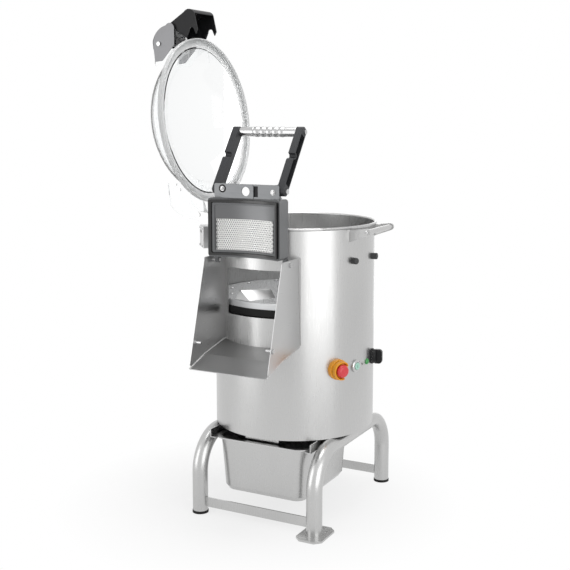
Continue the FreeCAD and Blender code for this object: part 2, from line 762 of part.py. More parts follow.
def dome_face(rx, rz, z, inner=None):
    """Half section of a dome, or of a bowl when a second, inner ellipse is given."""
    def arc(r, h, base):
        curve = Part.Ellipse(V(r, 0, base), V(0, 0, base + h), V(0, 0, base))
        return Part.ArcOfEllipse(curve, 0, math.pi / 2 - 0.02)

    outer = arc(rx, rz, z)
    crown = outer.EndPoint
    edges = [outer.toShape(), Part.makeLine(crown, V(0, 0, crown.z))]
    if inner is None:
        edges += [Part.makeLine(V(0, 0, crown.z), V(0, 0, z)), Part.makeLine(V(0, 0, z), V(rx, 0, z))]
    else:
        lower = arc(*inner)
        under = lower.EndPoint
        edges += [Part.makeLine(V(0, 0, crown.z), V(0, 0, under.z)), Part.makeLine(V(0, 0, under.z), under),
                  lower.toShape()]
    return edges


def spun(edges):
    face = Part.Face(Part.Wire(Part.__sortEdges__(edges)))
    return face.revolve(V(0, 0, 0), V(0, 0, 1), 360)


def lid_shell():
    """Clear moulded dome with a flange, a skirt outside the drum's rim and two pairs of cheeks."""
    top, low = lid_face + 4, lid_face - skirt_h
    r_in, h_in = dome_r - lid_wall, dome_h - lid_wall
    outline = [(r_in, lid_face), (lid_r - 3, lid_face), (lid_r - 3, low),
               (lid_r, low), (lid_r, top), (dome_r, top)]
    edges = dome_face(dome_r, dome_h, top, (r_in, h_in, lid_face))
    edges += [Part.makeLine(V(a[0], 0, a[1]), V(b[0], 0, b[1])) for a, b in zip(outline, outline[1:])]
    shapes = [spun(edges)]
    core = spun(dome_face(dome_r - 1, dome_h - 1, top - 1))
    for end in (-1, 1):
        for side in (-1, 1):
            shapes.append(cheek(end, side).cut(core))
    body = fused(shapes)
    for side in (-1, 1):
        y = side * cheek_y
        body = body.cut(rod_y_way(hinge_rod_r + run, y - 5, y + 5, lid_hinge_x, lid_hinge_z))
        body = body.cut(rod_y_way(4 + fit, y - 5, y + 5, lever_px, lever_pz))
    return with_lid(body)


def cheek(end, side):
    """Upright plate that carries the hinge or the latch, flush with the dome's crown."""
    foot, crown = lid_face + 2, lid_face + dome_h - 3
    root, rim = lid_r - 74, lid_r - 2
    x, z = lever_px, lever_pz
    if end > 0:
        points = [(root, foot), (rim, foot), (x + 37, z - 62), (x + 55, z - 40),
                  ("arc", (x + 44, z - 1), (x + 9, crown)), (root, crown)]
    else:
        points = [(-root, foot), (-rim, foot), (lid_hinge_x + 11, lid_hinge_z - 13),
                  ("arc", (lid_hinge_x - 13, lid_hinge_z - 9), (lid_hinge_x - 15, lid_hinge_z + 16)),
                  ("arc", (lid_hinge_x - 1, lid_hinge_z + 80), (-rim, crown)), (-root, crown)]
    y = side * cheek_y
    return plate_xz(points, y - cheek_t / 2, y + cheek_t / 2)


def lid_gasket():
    """Soft ring in the lid's flange that seats on the rolled rim."""
    r0, r1 = drum_r - 2, lid_r - 3 - fit
    low, high = lid_face - 1.2, lid_face - fit
    return with_lid(turned([(r0, low), (r1, low), (r1, high), (r0, high)]))


def latch_plate(side):
    """Steel side plate outside each latch cheek."""
    y0 = side * (cheek_y + cheek_t / 2 + 1.1 + fit) - 1
    crown = lid_face + dome_h - 6
    x, z = lever_px, lever_pz
    points = [(x - 55, crown), (x - 55, z - 6), (x - 11, z - 58), (x + 41, z - 64),
              ("arc", (x + 58, z - 55), (x + 54, z - 33)), ("arc", (x + 40, z + 2), (x + 3, crown))]
    plate = plate_xz(points, y0, y0 + 2)
    return with_lid(plate.cut(rod_y_way(4 + fit, y0 - 5, y0 + 5, lever_px, lever_pz)))


def latch_pivot():
    """Shoulder rod across both cheeks; the lever turns on it."""
    reach = cheek_y + cheek_t / 2 + 3.2
    shapes = [rod_y_way(4, -reach - 1, reach + 1, lever_px, lever_pz)]
    for side in (-1, 1):
        y0 = reach + fit if side > 0 else -reach - fit - 3
        shapes.append(rod_y_way(7, y0, y0 + 3, lever_px, lever_pz))
    return with_lid(fused(shapes))


def hinge_bolts():
    """Small cap screws on the hinge cheeks."""
    screws = []
    for side in (-1, 1):
        for x, z in ((lid_hinge_x + 103, lid_hinge_z + 94), (lid_hinge_x + 85, lid_hinge_z + 80)):
            y0 = side * (cheek_y + cheek_t / 2 + 2 + fit) - 2
            screws.append(with_lid(rod_y_way(5, y0, y0 + 4, x, z)))
    return screws


# Latch lever

def lever_shape(points, half):
    """Plate across Y from an outline of (x, z) steps from the lever's pivot."""
    def moved(x, z):
        return (lever_px + x, lever_pz + z)
    outline = [("arc", moved(*p[1]), moved(*p[2])) if p[0] == "arc" else moved(*p) for p in points]
    return plate_xz(outline, -half, half)


def latch_lever():
    """Moulded hook lever: two side cheeks and an outer skin, open towards the drum."""
    half = cheek_y - cheek_t / 2 - free - 0.6
    body = lever_shape([(7, -134), (25, -146), (79, -140), ("arc", (93, -124), (87, -102)), (59, -44),
                        ("arc", (41, -4), (7, 12)), (-9, 8), (-7, -16), (9, -24), (21, -46), (13, -72),
                        (3, -82)], half)
    mouth = rod_y_way(rod_r + hook_gap, -half - 1, half + 1, rod_x, rod_z)
    flare = plate_xz([(rod_x, rod_z + rod_r + hook_gap), (rod_x - 34, rod_z + 30), (rod_x - 34, rod_z - 22),
                      (rod_x, rod_z - rod_r - hook_gap)], -half - 1, half + 1)
    body = body.cut(mouth).cut(flare)
    inside = half - lever_wall
    well = lever_shape([(-19, -158), (71, -158), (82, -128), ("arc", (84, -118), (81, -103)), (53, -46),
                        ("arc", (37, -10), (3, 4)), (-19, 4)], inside)
    body = body.cut(well)
    bosses = []
    for side in (-1, 1):
        y0 = side * (half - 5) - 5
        boss = rod_y_way(11, y0, y0 + 10, lever_px, lever_pz)
        bosses.append(boss)
    body = fused([body] + bosses)
    return with_lid(body.cut(rod_y_way(4 + run, -half - 1, half + 1, lever_px, lever_pz)))


# Hinge and keeper lugs on the drum

def lug(end, side):
    """Tapered plate welded to the casing, with a round nose for its rod."""
    x, z = (rod_x, rod_z) if end > 0 else (-lid_hinge_x, lid_hinge_z)
    nose = 10.5
    root = math.sqrt(drum_r ** 2 - lug_y ** 2) - 3
    clear = lid_face - skirt_h - 2.5
    shoulder = math.sqrt((lid_r + 3) ** 2 - lug_y ** 2)
    points = [(root, drum_top - 44), (x + 3, z - nose), ("arc", (x + nose, z), (x, z + nose)),
              (shoulder + 4, z + nose - 3), (shoulder, clear), (root, clear)]
    y0 = side * lug_y - lug_t / 2
    plate = plate_xz(points, y0, y0 + lug_t)
    hole = (rod_r if end > 0 else hinge_rod_r) + fit
    plate = plate.cut(rod_y_way(hole, y0 - 1, y0 + lug_t + 1, x, z))
    if end < 0:
        plate = plate.mirror(V(0, 0, 0), V(1, 0, 0))
    plate = plate.cut(Part.makeTorus(drum_r + bead_r - 0.8, bead_r + 0.5, V(0, 0, drum_top)))
    return plate.cut(cylinder(drum_r + fit / 2, drum_top - 96, drum_top + 104))


def cross_rod(r, x, z):
    """Rod between two lugs with a slim cap outside each."""
    reach = lug_y + lug_t / 2
    shapes = [rod_y_way(r, -reach - 1, reach + 1, x, z)]
    for side in (-1, 1):
        y0 = reach + 0.05 if side > 0 else -reach - 2.05
        shapes.append(rod_y_way(r + 1.5, y0, y0 + 2, x, z))
    return fused(shapes)


def spacer(side):
    """Sleeve on the hinge rod that keeps the lid centred between its lugs."""
    y0, y1 = cheek_y + cheek_t / 2 + free, lug_y - lug_t / 2 - fit
    ring = rod_y_way(9, y0, y1, lid_hinge_x, lid_hinge_z)
    ring = ring.cut(rod_y_way(hinge_rod_r + fit, y0 - 1, y1 + 1, lid_hinge_x, lid_hinge_z))
    return ring if side > 0 else ring.mirror(V(0, 0, 0), V(0, 1, 0))


# Fittings on the drum, drawn on the X axis

def on_x(points):
    """Piece turned about the X axis from an (x, r) outline."""
    return profile(points, lambda x, r: V(x, 0, r)).revolve(V(0, 0, 0), V(1, 0, 0), 360)


def seated(shape):
    return shape.cut(cylinder(drum_r + fit / 2, -100, 100))


def peg():
    """Rubber buffer with a round-edged end."""
    out = drum_r + 17
    body = on_x([(drum_r - 4, 0), (drum_r - 4, 9.8), (out - 4, 9.8), ("arc", (out - 1.2, 8.6), (out, 5.5)),
                 (out, 0)])
    return seated(body)


def estop_base():
    """Collar with a guard wall that leaves the button's lower right free."""
    out = drum_r + 14
    body = on_x([(drum_r - 12, 12), (drum_r - 12, 31), (out - 3, 31), ("arc", (out - 0.9, 30.1), (out, 28)),
                 (out, 12)])
    guard = on_x([(out - 1, 23), (out - 1, 28), (out + 12, 27), (out + 12, 24)])
    guard = guard.cut(block(out - 2, out + 20, -5, 40, -40, 12))
    return seated(body.fuse(guard))


def estop_button():
    """Mushroom head on a stem."""
    out = drum_r + 40
    face = drum_r + 24
    return on_x([(drum_r - 14, 0), (drum_r - 14, 11), (face, 11), (face, 17),
                 ("arc", (face + 6, 19.6), (out - 3, 17)), ("arc", (out - 0.6, 14), (out, 8)), (out, 0)])


def start_bezel():
    out = drum_r + 7
    return seated(on_x([(drum_r - 9, 12), (drum_r - 9, 19), (out - 2, 19), (out, 16.5), (out, 12)]))


def start_button():
    out = drum_r + 9
    return on_x([(drum_r - 16, 0), (drum_r - 16, 11), (out - 1, 11), (out, 10), (out, 0)])


def lamp(r, proud):
    """Indicator lens with a neck through the casing."""
    out = drum_r + proud
    lens = on_x([(drum_r - 4, 0), (drum_r - 4, r), (out - r * 0.6, r),
                 ("arc", (out - r * 0.18, r * 0.66), (out, 0.5)), (out, 0)])
    body = seated(lens)
    neck = on_x([(drum_r - 14, 0), (drum_r - 14, r * 0.6), (drum_r + 1, r * 0.6), (drum_r + 1, 0)])
    return body.fuse(neck)


def timer_plate():
    out = drum_r + 5
    body = on_x([(drum_r - 8, 5.5), (drum_r - 8, 24), (out - 1, 24), (out, 23), (out, 5.5)])
    return seated(body)


def timer_knob():
    """Round skirt with a grip rib across it, on a spindle."""
    low, out = drum_r + 5.5, drum_r + 33
    skirt = on_x([(low, 0), (low, 22.5), (low + 7, 21),
                  ("arc", (low + 9, 20), (low + 10, 18)), (low + 10, 0)])
    rib = block(low + 5, out, -6.5, 6.5, -22, 22)
    ends = [e for e in rib.Edges if e.BoundBox.YLength > 10 and e.BoundBox.XMin > out - 1]
    rib = rib.makeFillet(10, ends)
    spindle = on_x([(drum_r - 14, 0), (drum_r - 14, 4.5), (low + 2, 4.5), (low + 2, 0)])
    return fused([skirt, rib, spindle])


def switch_box():
    """Interlock switch housing on the casing, with a slot in its outer face."""
    out = drum_r + 47
    body = block(drum_r - 6, out, -30, 30, -33.5, 33.5)
    edges = [e for e in body.Edges if e.BoundBox.XMin > out - 1]
    body = body.makeFillet(2.5, edges).cut(block(out - 4, out + 1, -22, 12, 12, 20))
    body = on_drum(seated(body), switch_at)
    return body.cut(Part.makeTorus(drum_r + bead_r - 0.8, bead_r + 0.5, V(0, 0, drum_top)))


def switch_conduit():
    """Cable duct from the switch housing down into the casing."""
    body = block(drum_r - 6, drum_r + 14, -8, 8, -66, -33.5 - fit)
    edges = [e for e in body.Edges if e.BoundBox.XMin > drum_r + 13 and e.BoundBox.YLength < 1]
    return on_drum(seated(body.makeFillet(3, edges)), switch_at)


def cable_gland():
    """Gland low on the back of the casing; its lead is not part of the model."""
    inner, nut, out = drum_r - 6, drum_r + 8, drum_r + 22
    body = on_x([(inner, 6), (inner, 14), (nut, 14), (nut + 2, 11), (out, 9), (out, 6)])
    return on_drum(seated(body), gland_at)


def build():
    os.makedirs("parts", exist_ok=True)
    save("side_frame_left", side_frame(-1))
    save("side_frame_right", side_frame(1))
    save("stretchers", stretcher(-1), stretcher(1))
    save("foot_plate", foot_plate())
    save("foot_caps", foot_cap(-leg_x, -leg_y), foot_cap(-leg_x, leg_y), foot_cap(leg_x, leg_y))
    save("pan_rails", pan_rail(-1), pan_rail(1))
    pads = [saddle(sx * (leg_x - 4), sy * 110) for sx in (-1, 1) for sy in (-1, 1)]
    save("drum_saddles", *pads)
    save("peel_pan", peel_pan())

    save("drum_casing", casing())
    save("chamber_floor", chamber_floor())
    save("peel_duct", peel_duct())
    save("base_plate", base_plate())

    save("bearing_housing", bearing_housing())
    save("shaft_bearings", bearing(housing_low + fit), bearing(floor_z - floor_wall - bearing_h))
    save("shaft_seal", shaft_seal())
    save("drive_shaft", drive_shaft())
    save("driven_pulley", pulley(big_pulley_r, shaft_r + 0.02, 0))
    save("motor_pulley", pulley(small_pulley_r, 9.02, motor_y))
    save("motor_shaft", motor_shaft())
    save("drive_belt", drive_belt())
    save("motor", motor_body())
    save("motor_plate", motor_plate())
    save("motor_standoffs", *[standoff(x, y) for x, y in stud_places])

    save("abrasive_disc", abrasive_disc())
    save("disc_skirt", disc_skirt())
    save("disc_vanes", vane(0), vane(180))
    save("disc_fasteners", hub_cap(), *disc_screws())

    save("chute_sides", chute_side(-1), chute_side(1))
    save("chute_floor", chute_floor())
    save("keeper_pins", keeper_pin(-1), keeper_pin(1))
    save("door_pivot_bolts", door_pivot_bolt(-1), door_pivot_bolt(1))

    save("door_casting", door_casting())
    save("door_gasket", door_gasket())
    low, high = door_z + gasket_w + lip_w + 7.5, door_z + door_h - gasket_w - lip_w - 7.5
    save("grater_sheet", door_panel(low, panel_split - panel_gap, 3.5))
    save("door_inner_plate", door_panel(panel_split, high, 2.0))
    save("door_bracket", door_bracket())
    save("bracket_block", bracket_block())
    save("handle_bolts", handle_bolt(-1), handle_bolt(1))
    save("handle_arms", arm(-1), arm(1))
    save("handle_grip", grip())
    save("grip_rod", grip_rod())

    save("lid_dome", lid_shell())
    save("lid_gasket", lid_gasket())
    save("latch_plates", latch_plate(-1), latch_plate(1))
    save("lid_bolts", latch_pivot(), *hinge_bolts())
    save("latch_lever", latch_lever())
    lugs = [lug(end, side) for end in (-1, 1) for side in (-1, 1)]
    save("drum_lugs", *lugs)
    save("keeper_rod", cross_rod(rod_r, rod_x, rod_z))
    save("lid_hinge_rod", cross_rod(hinge_rod_r, lid_hinge_x, lid_hinge_z), spacer(-1), spacer(1))

    save("rubber_pegs", *[on_drum(peg(), place) for place in peg_places])
    save("estop_base", on_drum(estop_base(), estop_at))
    save("start_bezel", on_drum(start_bezel(), start_at))
    save("timer_plate", on_drum(timer_plate(), timer_at))
    save("estop_button", on_drum(estop_button(), estop_at))
    save("start_button", on_drum(start_button(), start_at))
    save("timer_knob", on_drum(timer_knob(), timer_at))
    save("clear_lamp", on_drum(lamp(4.5, 5), clear_lamp_at))
    save("green_lamp", on_drum(lamp(9.5, 7), green_lamp_at))
    save("switch_box", switch_box(), switch_conduit())
    save("cable_gland", cable_gland())
    export()


build()
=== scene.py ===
import json
import math

import bmesh
import bpy
from mathutils import Matrix, Vector


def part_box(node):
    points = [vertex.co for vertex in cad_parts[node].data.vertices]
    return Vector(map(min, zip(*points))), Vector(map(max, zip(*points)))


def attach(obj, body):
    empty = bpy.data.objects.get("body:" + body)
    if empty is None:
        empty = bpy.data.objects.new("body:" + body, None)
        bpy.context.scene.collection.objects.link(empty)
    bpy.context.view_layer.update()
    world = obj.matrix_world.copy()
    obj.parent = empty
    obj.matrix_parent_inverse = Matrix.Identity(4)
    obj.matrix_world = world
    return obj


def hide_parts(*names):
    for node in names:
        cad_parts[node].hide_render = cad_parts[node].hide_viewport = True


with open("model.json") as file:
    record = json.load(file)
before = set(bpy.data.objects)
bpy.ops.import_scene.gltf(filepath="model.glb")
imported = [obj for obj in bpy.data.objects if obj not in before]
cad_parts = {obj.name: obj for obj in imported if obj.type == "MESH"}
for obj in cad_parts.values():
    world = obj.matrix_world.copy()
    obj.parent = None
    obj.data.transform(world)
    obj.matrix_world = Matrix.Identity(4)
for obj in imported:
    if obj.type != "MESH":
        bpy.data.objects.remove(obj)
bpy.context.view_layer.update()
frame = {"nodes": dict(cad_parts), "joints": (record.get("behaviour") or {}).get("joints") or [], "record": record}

print("stage: frame loaded")

# places that everything else is measured from
casingLow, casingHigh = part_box("drum_casing")
axisX = (casingLow.x + casingHigh.x) / 2
axisY = (casingLow.y + casingHigh.y) / 2
casingWall = 0.0016
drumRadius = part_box("base_plate")[1].x - axisX + casingWall  # the plate lies inside the wall


def place(x, y, z):  # metres from the drum's axis and the floor
    return Vector((axisX + x, axisY + y, z))


def onDrum(angle, z, out=0.0):  # a place on the drum's wall, the angle from +X in degrees
    a = math.radians(angle)
    return place((drumRadius + out) * math.cos(a), (drumRadius + out) * math.sin(a), z)


def wallAxes(angle):  # outward, along and up the drum's wall at that angle
    a = math.radians(angle)
    return Vector((math.cos(a), math.sin(a), 0)), Vector((-math.sin(a), math.cos(a), 0)), Vector((0, 0, 1))


def newObject(name, data):
    item = bpy.data.objects.new(name, data)
    bpy.context.collection.objects.link(item)
    return item


# camera, fitted to the photograph: metres and degrees, the focal length in pixels
camera = {"away": 3.2152, "turn": 27.72, "pitch": 7.319, "side": -0.0313, "aim": 0.8199, "shift": -0.0702,
          "focal": 1020.35, "pixels": 570, "sensor": 36, "reach": 50}

cam = newObject("camera", bpy.data.cameras.new("camera"))
bpy.context.scene.camera = cam
turn, pitch = math.radians(camera["turn"]), math.radians(camera["pitch"])
ahead = Vector((-math.sin(turn) * math.cos(pitch), math.cos(turn) * math.cos(pitch), -math.sin(pitch)))
sideways = Vector((math.cos(turn), math.sin(turn), 0))
aim = place(camera["side"] * sideways.x, camera["side"] * sideways.y, camera["aim"])
cam.location = aim - ahead * camera["away"]
cam.rotation_mode = "QUATERNION"
cam.rotation_quaternion = ahead.to_track_quat("-Z", "Y")
cam.data.sensor_width = camera["sensor"]
cam.data.lens = camera["focal"] / camera["pixels"] * camera["sensor"]
cam.data.shift_y = camera["shift"]
cam.data.clip_end = camera["reach"]
bpy.context.scene.view_settings.view_transform = "Standard"


# shader helpers
def newMaterial(name):
    material = bpy.data.materials.new(name)
    material.use_nodes = True
    return material, material.node_tree, material.node_tree.nodes["Principled BSDF"]


def addNode(tree, kind, **values):
    node = tree.nodes.new(kind)
    for key, value in values.items():
        if hasattr(node, key):
            setattr(node, key, value)
        else:
            node.inputs[key.replace("_", " ")].default_value = value
    return node


def join(tree, source, target):
    tree.links.new(source, target)


def noiseOf(tree, scale, stretch=(1, 1, 1), detail=3.0):
    coords = addNode(tree, "ShaderNodeTexCoord")
    mapping = addNode(tree, "ShaderNodeMapping", Scale=stretch)
    join(tree, coords.outputs["Object"], mapping.inputs["Vector"])
    noise = addNode(tree, "ShaderNodeTexNoise", Scale=scale, Detail=detail)
    join(tree, mapping.outputs["Vector"], noise.inputs["Vector"])
    return noise.outputs["Fac"]


def spanOf(tree, source, fromLow, fromHigh, toLow, toHigh):
    span = addNode(tree, "ShaderNodeMapRange", From_Min=fromLow, From_Max=fromHigh,
                   To_Min=toLow, To_Max=toHigh)
    join(tree, source, span.inputs["Value"])
    return span.outputs["Result"]


def colourBetween(tree, share, first, second):  # either end may be a colour or a socket
    mix = addNode(tree, "ShaderNodeMix", data_type="RGBA")
    join(tree, share, mix.inputs[0])
    for socket, value in ((mix.inputs[6], first), (mix.inputs[7], second)):
        if isinstance(value, tuple):
            socket.default_value = (*value, 1)
        else:
            join(tree, value, socket)
    return mix.outputs[2]


def maths(tree, operation, first, second):
    node = addNode(tree, "ShaderNodeMath", operation=operation)
    for socket, value in zip(node.inputs, (first, second)):
        if isinstance(value, (int, float)):
            socket.default_value = value
        else:
            join(tree, value, socket)
    return node.outputs[0]


def shade(colour, factor):  # lighter or darker
    return tuple(min(1.0, c * factor) for c in colour)


def bumpFrom(tree, shader, height, strength, distance):
    bump = addNode(tree, "ShaderNodeBump", Strength=strength, Distance=distance)
    join(tree, height, bump.inputs["Height"])
    join(tree, bump.outputs["Normal"], shader.inputs["Normal"])


def metal(name, colour, rough, stretch=(1, 1, 1), fine=60.0, depth=0.02, spread=0.07):
    material, tree, shader = newMaterial(name)
    shader.inputs["Metallic"].default_value = 1.0
    grain = noiseOf(tree, fine, stretch)
    cloud = noiseOf(tree, 5.0, (1, 1, 0.5), 2.0)  # broad handling marks
    tone = colourBetween(tree, spanOf(tree, cloud, 0.3, 0.7, 0, 1), shade(colour, 0.95), shade(colour, 1.04))
    join(tree, tone, shader.inputs["Base Color"])
    join(tree, spanOf(tree, grain, 0.25, 0.75, rough - spread, rough + spread), shader.inputs["Roughness"])
    bumpFrom(tree, shader, grain, depth, 0.001)
    return material


def coated(name, colour, rough, gloss=0.5, coat=0.0, pebble=0.0, pebbleSize=900.0, mottle=0.08):
    material, tree, shader = newMaterial(name)
    cloud = noiseOf(tree, 14.0, (1, 1, 1), 4.0)
    tone = colourBetween(tree, cloud, shade(colour, 1 - mottle), shade(colour, 1 + mottle))
    join(tree, tone, shader.inputs["Base Color"])
    join(tree, spanOf(tree, cloud, 0.3, 0.7, rough - 0.05, rough + 0.05), shader.inputs["Roughness"])
    shader.inputs["Specular IOR Level"].default_value = gloss
    shader.inputs["Coat Weight"].default_value = coat
    if pebble:
        bumpFrom(tree, shader, noiseOf(tree, pebbleSize, (1, 1, 1), 2.0), pebble, 0.0005)
    return material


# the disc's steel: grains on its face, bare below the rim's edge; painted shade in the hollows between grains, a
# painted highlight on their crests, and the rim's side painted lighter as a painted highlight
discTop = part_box("abrasive_disc")[1].z
disc = {"edge": 0.0012, "edgeEnd": 0.0004, "grains": 420.0,
        "paintedHollowShade": 0.75, "crest": 1.15, "rim": 1.35, "metallic": 0.85, "relief": 0.35, "depth": 0.0008}


def grittySteel(name, colour):
    material, tree, shader = newMaterial(name)
    coords = addNode(tree, "ShaderNodeTexCoord")
    grains = addNode(tree, "ShaderNodeTexVoronoi", Scale=disc["grains"])
    join(tree, coords.outputs["Object"], grains.inputs["Vector"])
    height = addNode(tree, "ShaderNodeSeparateXYZ")
    join(tree, coords.outputs["Object"], height.inputs["Vector"])
    onTop = spanOf(tree, height.outputs["Z"], discTop - disc["edge"], discTop - disc["edgeEnd"], 0.0, 1.0)
    facing = spanOf(tree, grains.outputs["Distance"], 0.0, 0.6, 1.0, 0.0)
    grainHeight = maths(tree, "MULTIPLY", facing, onTop)
    # painted shade in the hollows between grains, painted highlight on their crests
    paintedGrainShading = colourBetween(tree, facing, shade(colour, disc["paintedHollowShade"]), shade(colour, disc["crest"]))
    # the rim's side below the top edge is painted lighter: a painted highlight
    tone = colourBetween(tree, onTop, shade(colour, disc["rim"]), paintedGrainShading)
    join(tree, tone, shader.inputs["Base Color"])
    join(tree, spanOf(tree, grainHeight, 0, 1, 0.6, 0.35), shader.inputs["Roughness"])
    shader.inputs["Metallic"].default_value = disc["metallic"]
    bumpFrom(tree, shader, grainHeight, disc["relief"], disc["depth"])
    return material


# the lid: clear dome, and a frosted band where its flange is
lidLook = {"bandStart": 0.2365, "bandFade": 0.002, "bandTop": 0.9063, "topFade": 0.0005, "openTurn": 96.5,
           "bandTone": (0.80, 0.805, 0.805), "clearTone": (0.975, 0.98, 0.98), "paintedEdgeShade": (0.80, 0.82, 0.83),
           "bandRough": 0.42, "clearRough": 0.02, "bandMilk": 0.4, "edge": 0.25, "bend": 1.25}
lidJoint = next(joint for joint in frame["joints"] if joint["name"] == "lid_hinge")


def clearMoulding(name):
    material, tree, shader = newMaterial(name)
    hinge = Vector(lidJoint["pos_m"])
    coords = addNode(tree, "ShaderNodeTexCoord")
    # back from the open lid to the shut one, and then centred on the drum
    toHinge = addNode(tree, "ShaderNodeMapping", Location=-hinge)
    swing = addNode(tree, "ShaderNodeMapping", Rotation=(0, math.radians(lidLook["openTurn"]), 0))
    toAxis = addNode(tree, "ShaderNodeMapping", Location=hinge - place(0, 0, 0))
    join(tree, coords.outputs["Object"], toHinge.inputs["Vector"])
    join(tree, toHinge.outputs["Vector"], swing.inputs["Vector"])
    join(tree, swing.outputs["Vector"], toAxis.inputs["Vector"])
    flat = addNode(tree, "ShaderNodeVectorMath", operation="MULTIPLY")
    flat.inputs[1].default_value = (1, 1, 0)
    radius = addNode(tree, "ShaderNodeVectorMath", operation="LENGTH")
    join(tree, toAxis.outputs["Vector"], flat.inputs[0])
    join(tree, flat.outputs["Vector"], radius.inputs[0])
    height = tree.nodes.new("ShaderNodeSeparateXYZ")
    join(tree, toAxis.outputs["Vector"], height.inputs[0])
    start, top = lidLook["bandStart"], lidLook["bandTop"]
    outside = spanOf(tree, radius.outputs["Value"], start, start + lidLook["bandFade"], 0, 1)
    below = spanOf(tree, height.outputs["Z"], top, top + lidLook["topFade"], 1, 0)
    band = maths(tree, "MULTIPLY", outside, below)
    # the dome's wall is tinted darker where it turns away from view: painted shade along its outline, partly
    # standing for the longer path through the acrylic
    rim = addNode(tree, "ShaderNodeLayerWeight", Blend=lidLook["edge"])
    wall = colourBetween(tree, rim.outputs["Facing"], lidLook["clearTone"], lidLook["paintedEdgeShade"])
    join(tree, colourBetween(tree, band, wall, lidLook["bandTone"]), shader.inputs["Base Color"])
    rough = spanOf(tree, band, 0, 1, lidLook["clearRough"], lidLook["bandRough"])
    clear = spanOf(tree, band, 0, 1, 1.0, lidLook["bandMilk"])
    join(tree, rough, shader.inputs["Roughness"])
    join(tree, clear, shader.inputs["Transmission Weight"])
    shader.inputs["IOR"].default_value = lidLook["bend"]
    return material


def softClear(name, tint, rough):  # translucent rubber or a small lens
    material, tree, shader = newMaterial(name)
    cloud = noiseOf(tree, 40.0)
    join(tree, colourBetween(tree, cloud, shade(tint, 0.94), tint), shader.inputs["Base Color"])
    join(tree, spanOf(tree, cloud, 0.3, 0.7, rough - 0.03, rough + 0.03), shader.inputs["Roughness"])
    shader.inputs["Transmission Weight"].default_value = 0.7
    shader.inputs["IOR"].default_value = 1.35
    return material


finishes = {
    "stainless": metal("drumStainless", (0.52, 0.52, 0.517), 0.31, (1, 1, 0.03), 700.0, 0.03),
    "bolt_steel": metal("boltSteel", (0.55, 0.55, 0.55), 0.27, (1, 1, 1), 90.0, 0.01),
    # near-black base plate under the drum: partly its black paint, partly painted shade for the dark gap between
    # the drum and the pan
    "black_paint": coated("baseBlackPaintAndShade", (0.018, 0.018, 0.019), 0.55, 0.3, pebble=0.15),
    "plate_grey": metal("latchPlateSteel", (0.19, 0.19, 0.195), 0.38, (1, 0.05, 1), 500.0),
    "pale_rubber": softClear("paleSilicone", (0.86, 0.87, 0.87), 0.45),
    "grit": grittySteel("discTop", (0.56, 0.565, 0.57)),
    "grater": metal("graterSheet", (0.62, 0.62, 0.61), 0.30, (1, 1, 1), 120.0, 0.01),
    "door_grey": coated("doorMoulding", (0.145, 0.148, 0.152), 0.38, 0.5, pebble=0.12),
    "bracket_grey": metal("bracketSteel", (0.20, 0.205, 0.21), 0.42, (0.05, 1, 1), 500.0),
    "arm_grey": coated("armCasting", (0.034, 0.035, 0.038), 0.45, 0.3, pebble=0.15),
    "grip_alu": metal("gripAluminium", (0.55, 0.55, 0.55), 0.2, (0.05, 1, 1), 120.0, 0.01),
    "black_rubber": coated("blackRubber", (0.010, 0.010, 0.010), 0.6, 0.25, pebble=0.2, pebbleSize=500.0),
    "clear_plastic": clearMoulding("lidMoulding"),
    "black_plastic": coated("blackMoulding", (0.008, 0.008, 0.009), 0.42, 0.25, pebble=0.15),
    "yellow_plastic": coated("stopCollar", (0.86, 0.36, 0.02), 0.35, 0.4, mottle=0.03),
    "red_plastic": coated("stopButton", (0.70, 0.035, 0.05), 0.3, 0.5, coat=0.3, mottle=0.03),
    "pale_plastic": coated("paleMarks", (0.80, 0.83, 0.81), 0.28, 0.5, mottle=0.02),
    "green_plastic": coated("runLamp", (0.03, 0.30, 0.06), 0.25, 0.5, coat=0.4, mottle=0.05),
    "pulley_iron": metal("pulleyIron", (0.20, 0.20, 0.20), 0.45),
    "motor_paint": coated("motorPaint", (0.04, 0.07, 0.11), 0.4, 0.4, pebble=0.2),
}
ownFinish = {  # nodes whose tone differs from the rest of their slot
    "switch_box": metal("switchBoxSteel", (0.62, 0.62, 0.62), 0.4, (1, 1, 0.1), 500.0),
    "chute_floor": metal("chuteFloorSteel", (0.40, 0.40, 0.40), 0.36, (1, 0.03, 0.03), 700.0, 0.02),
    "chute_sides": metal("chuteSideSteel", (0.55, 0.55, 0.55), 0.33, (1, 0.03, 1), 700.0, 0.02),
    "rubber_pegs": coated("pegRubber", (0.040, 0.041, 0.042), 0.5, 0.4, pebble=0.2, pebbleSize=500.0),
    "door_gasket": coated("gasketRubber", (0.004, 0.004, 0.004), 0.22, 0.7, pebble=0.1, pebbleSize=500.0),
    # the vanes' steel is a lighter copy of the disc's steel: painted light for the inside of the drum
    "disc_vanes": metal("vaneSteelPaintedLight", (0.74, 0.74, 0.74), 0.36, (1, 1, 1), 300.0, 0.04),
    "door_inner_plate": metal("doorPlate", (0.16, 0.162, 0.165), 0.36, (0.05, 1, 1)),
    "start_button": coated("startButton", (0.42, 0.70, 0.58), 0.3, 0.45, mottle=0.03),
    "clear_lamp": softClear("whiteLens", (0.9, 0.9, 0.88), 0.2),
}
slotOf = {part["node"]: part["material_slot"] for part in frame["record"]["subparts"]}
for name, node in frame["nodes"].items():
    node.data.materials.clear()
    node.data.materials.append(ownFinish.get(name) or finishes[slotOf[name]])
print("stage: finishes on the frame's nodes")


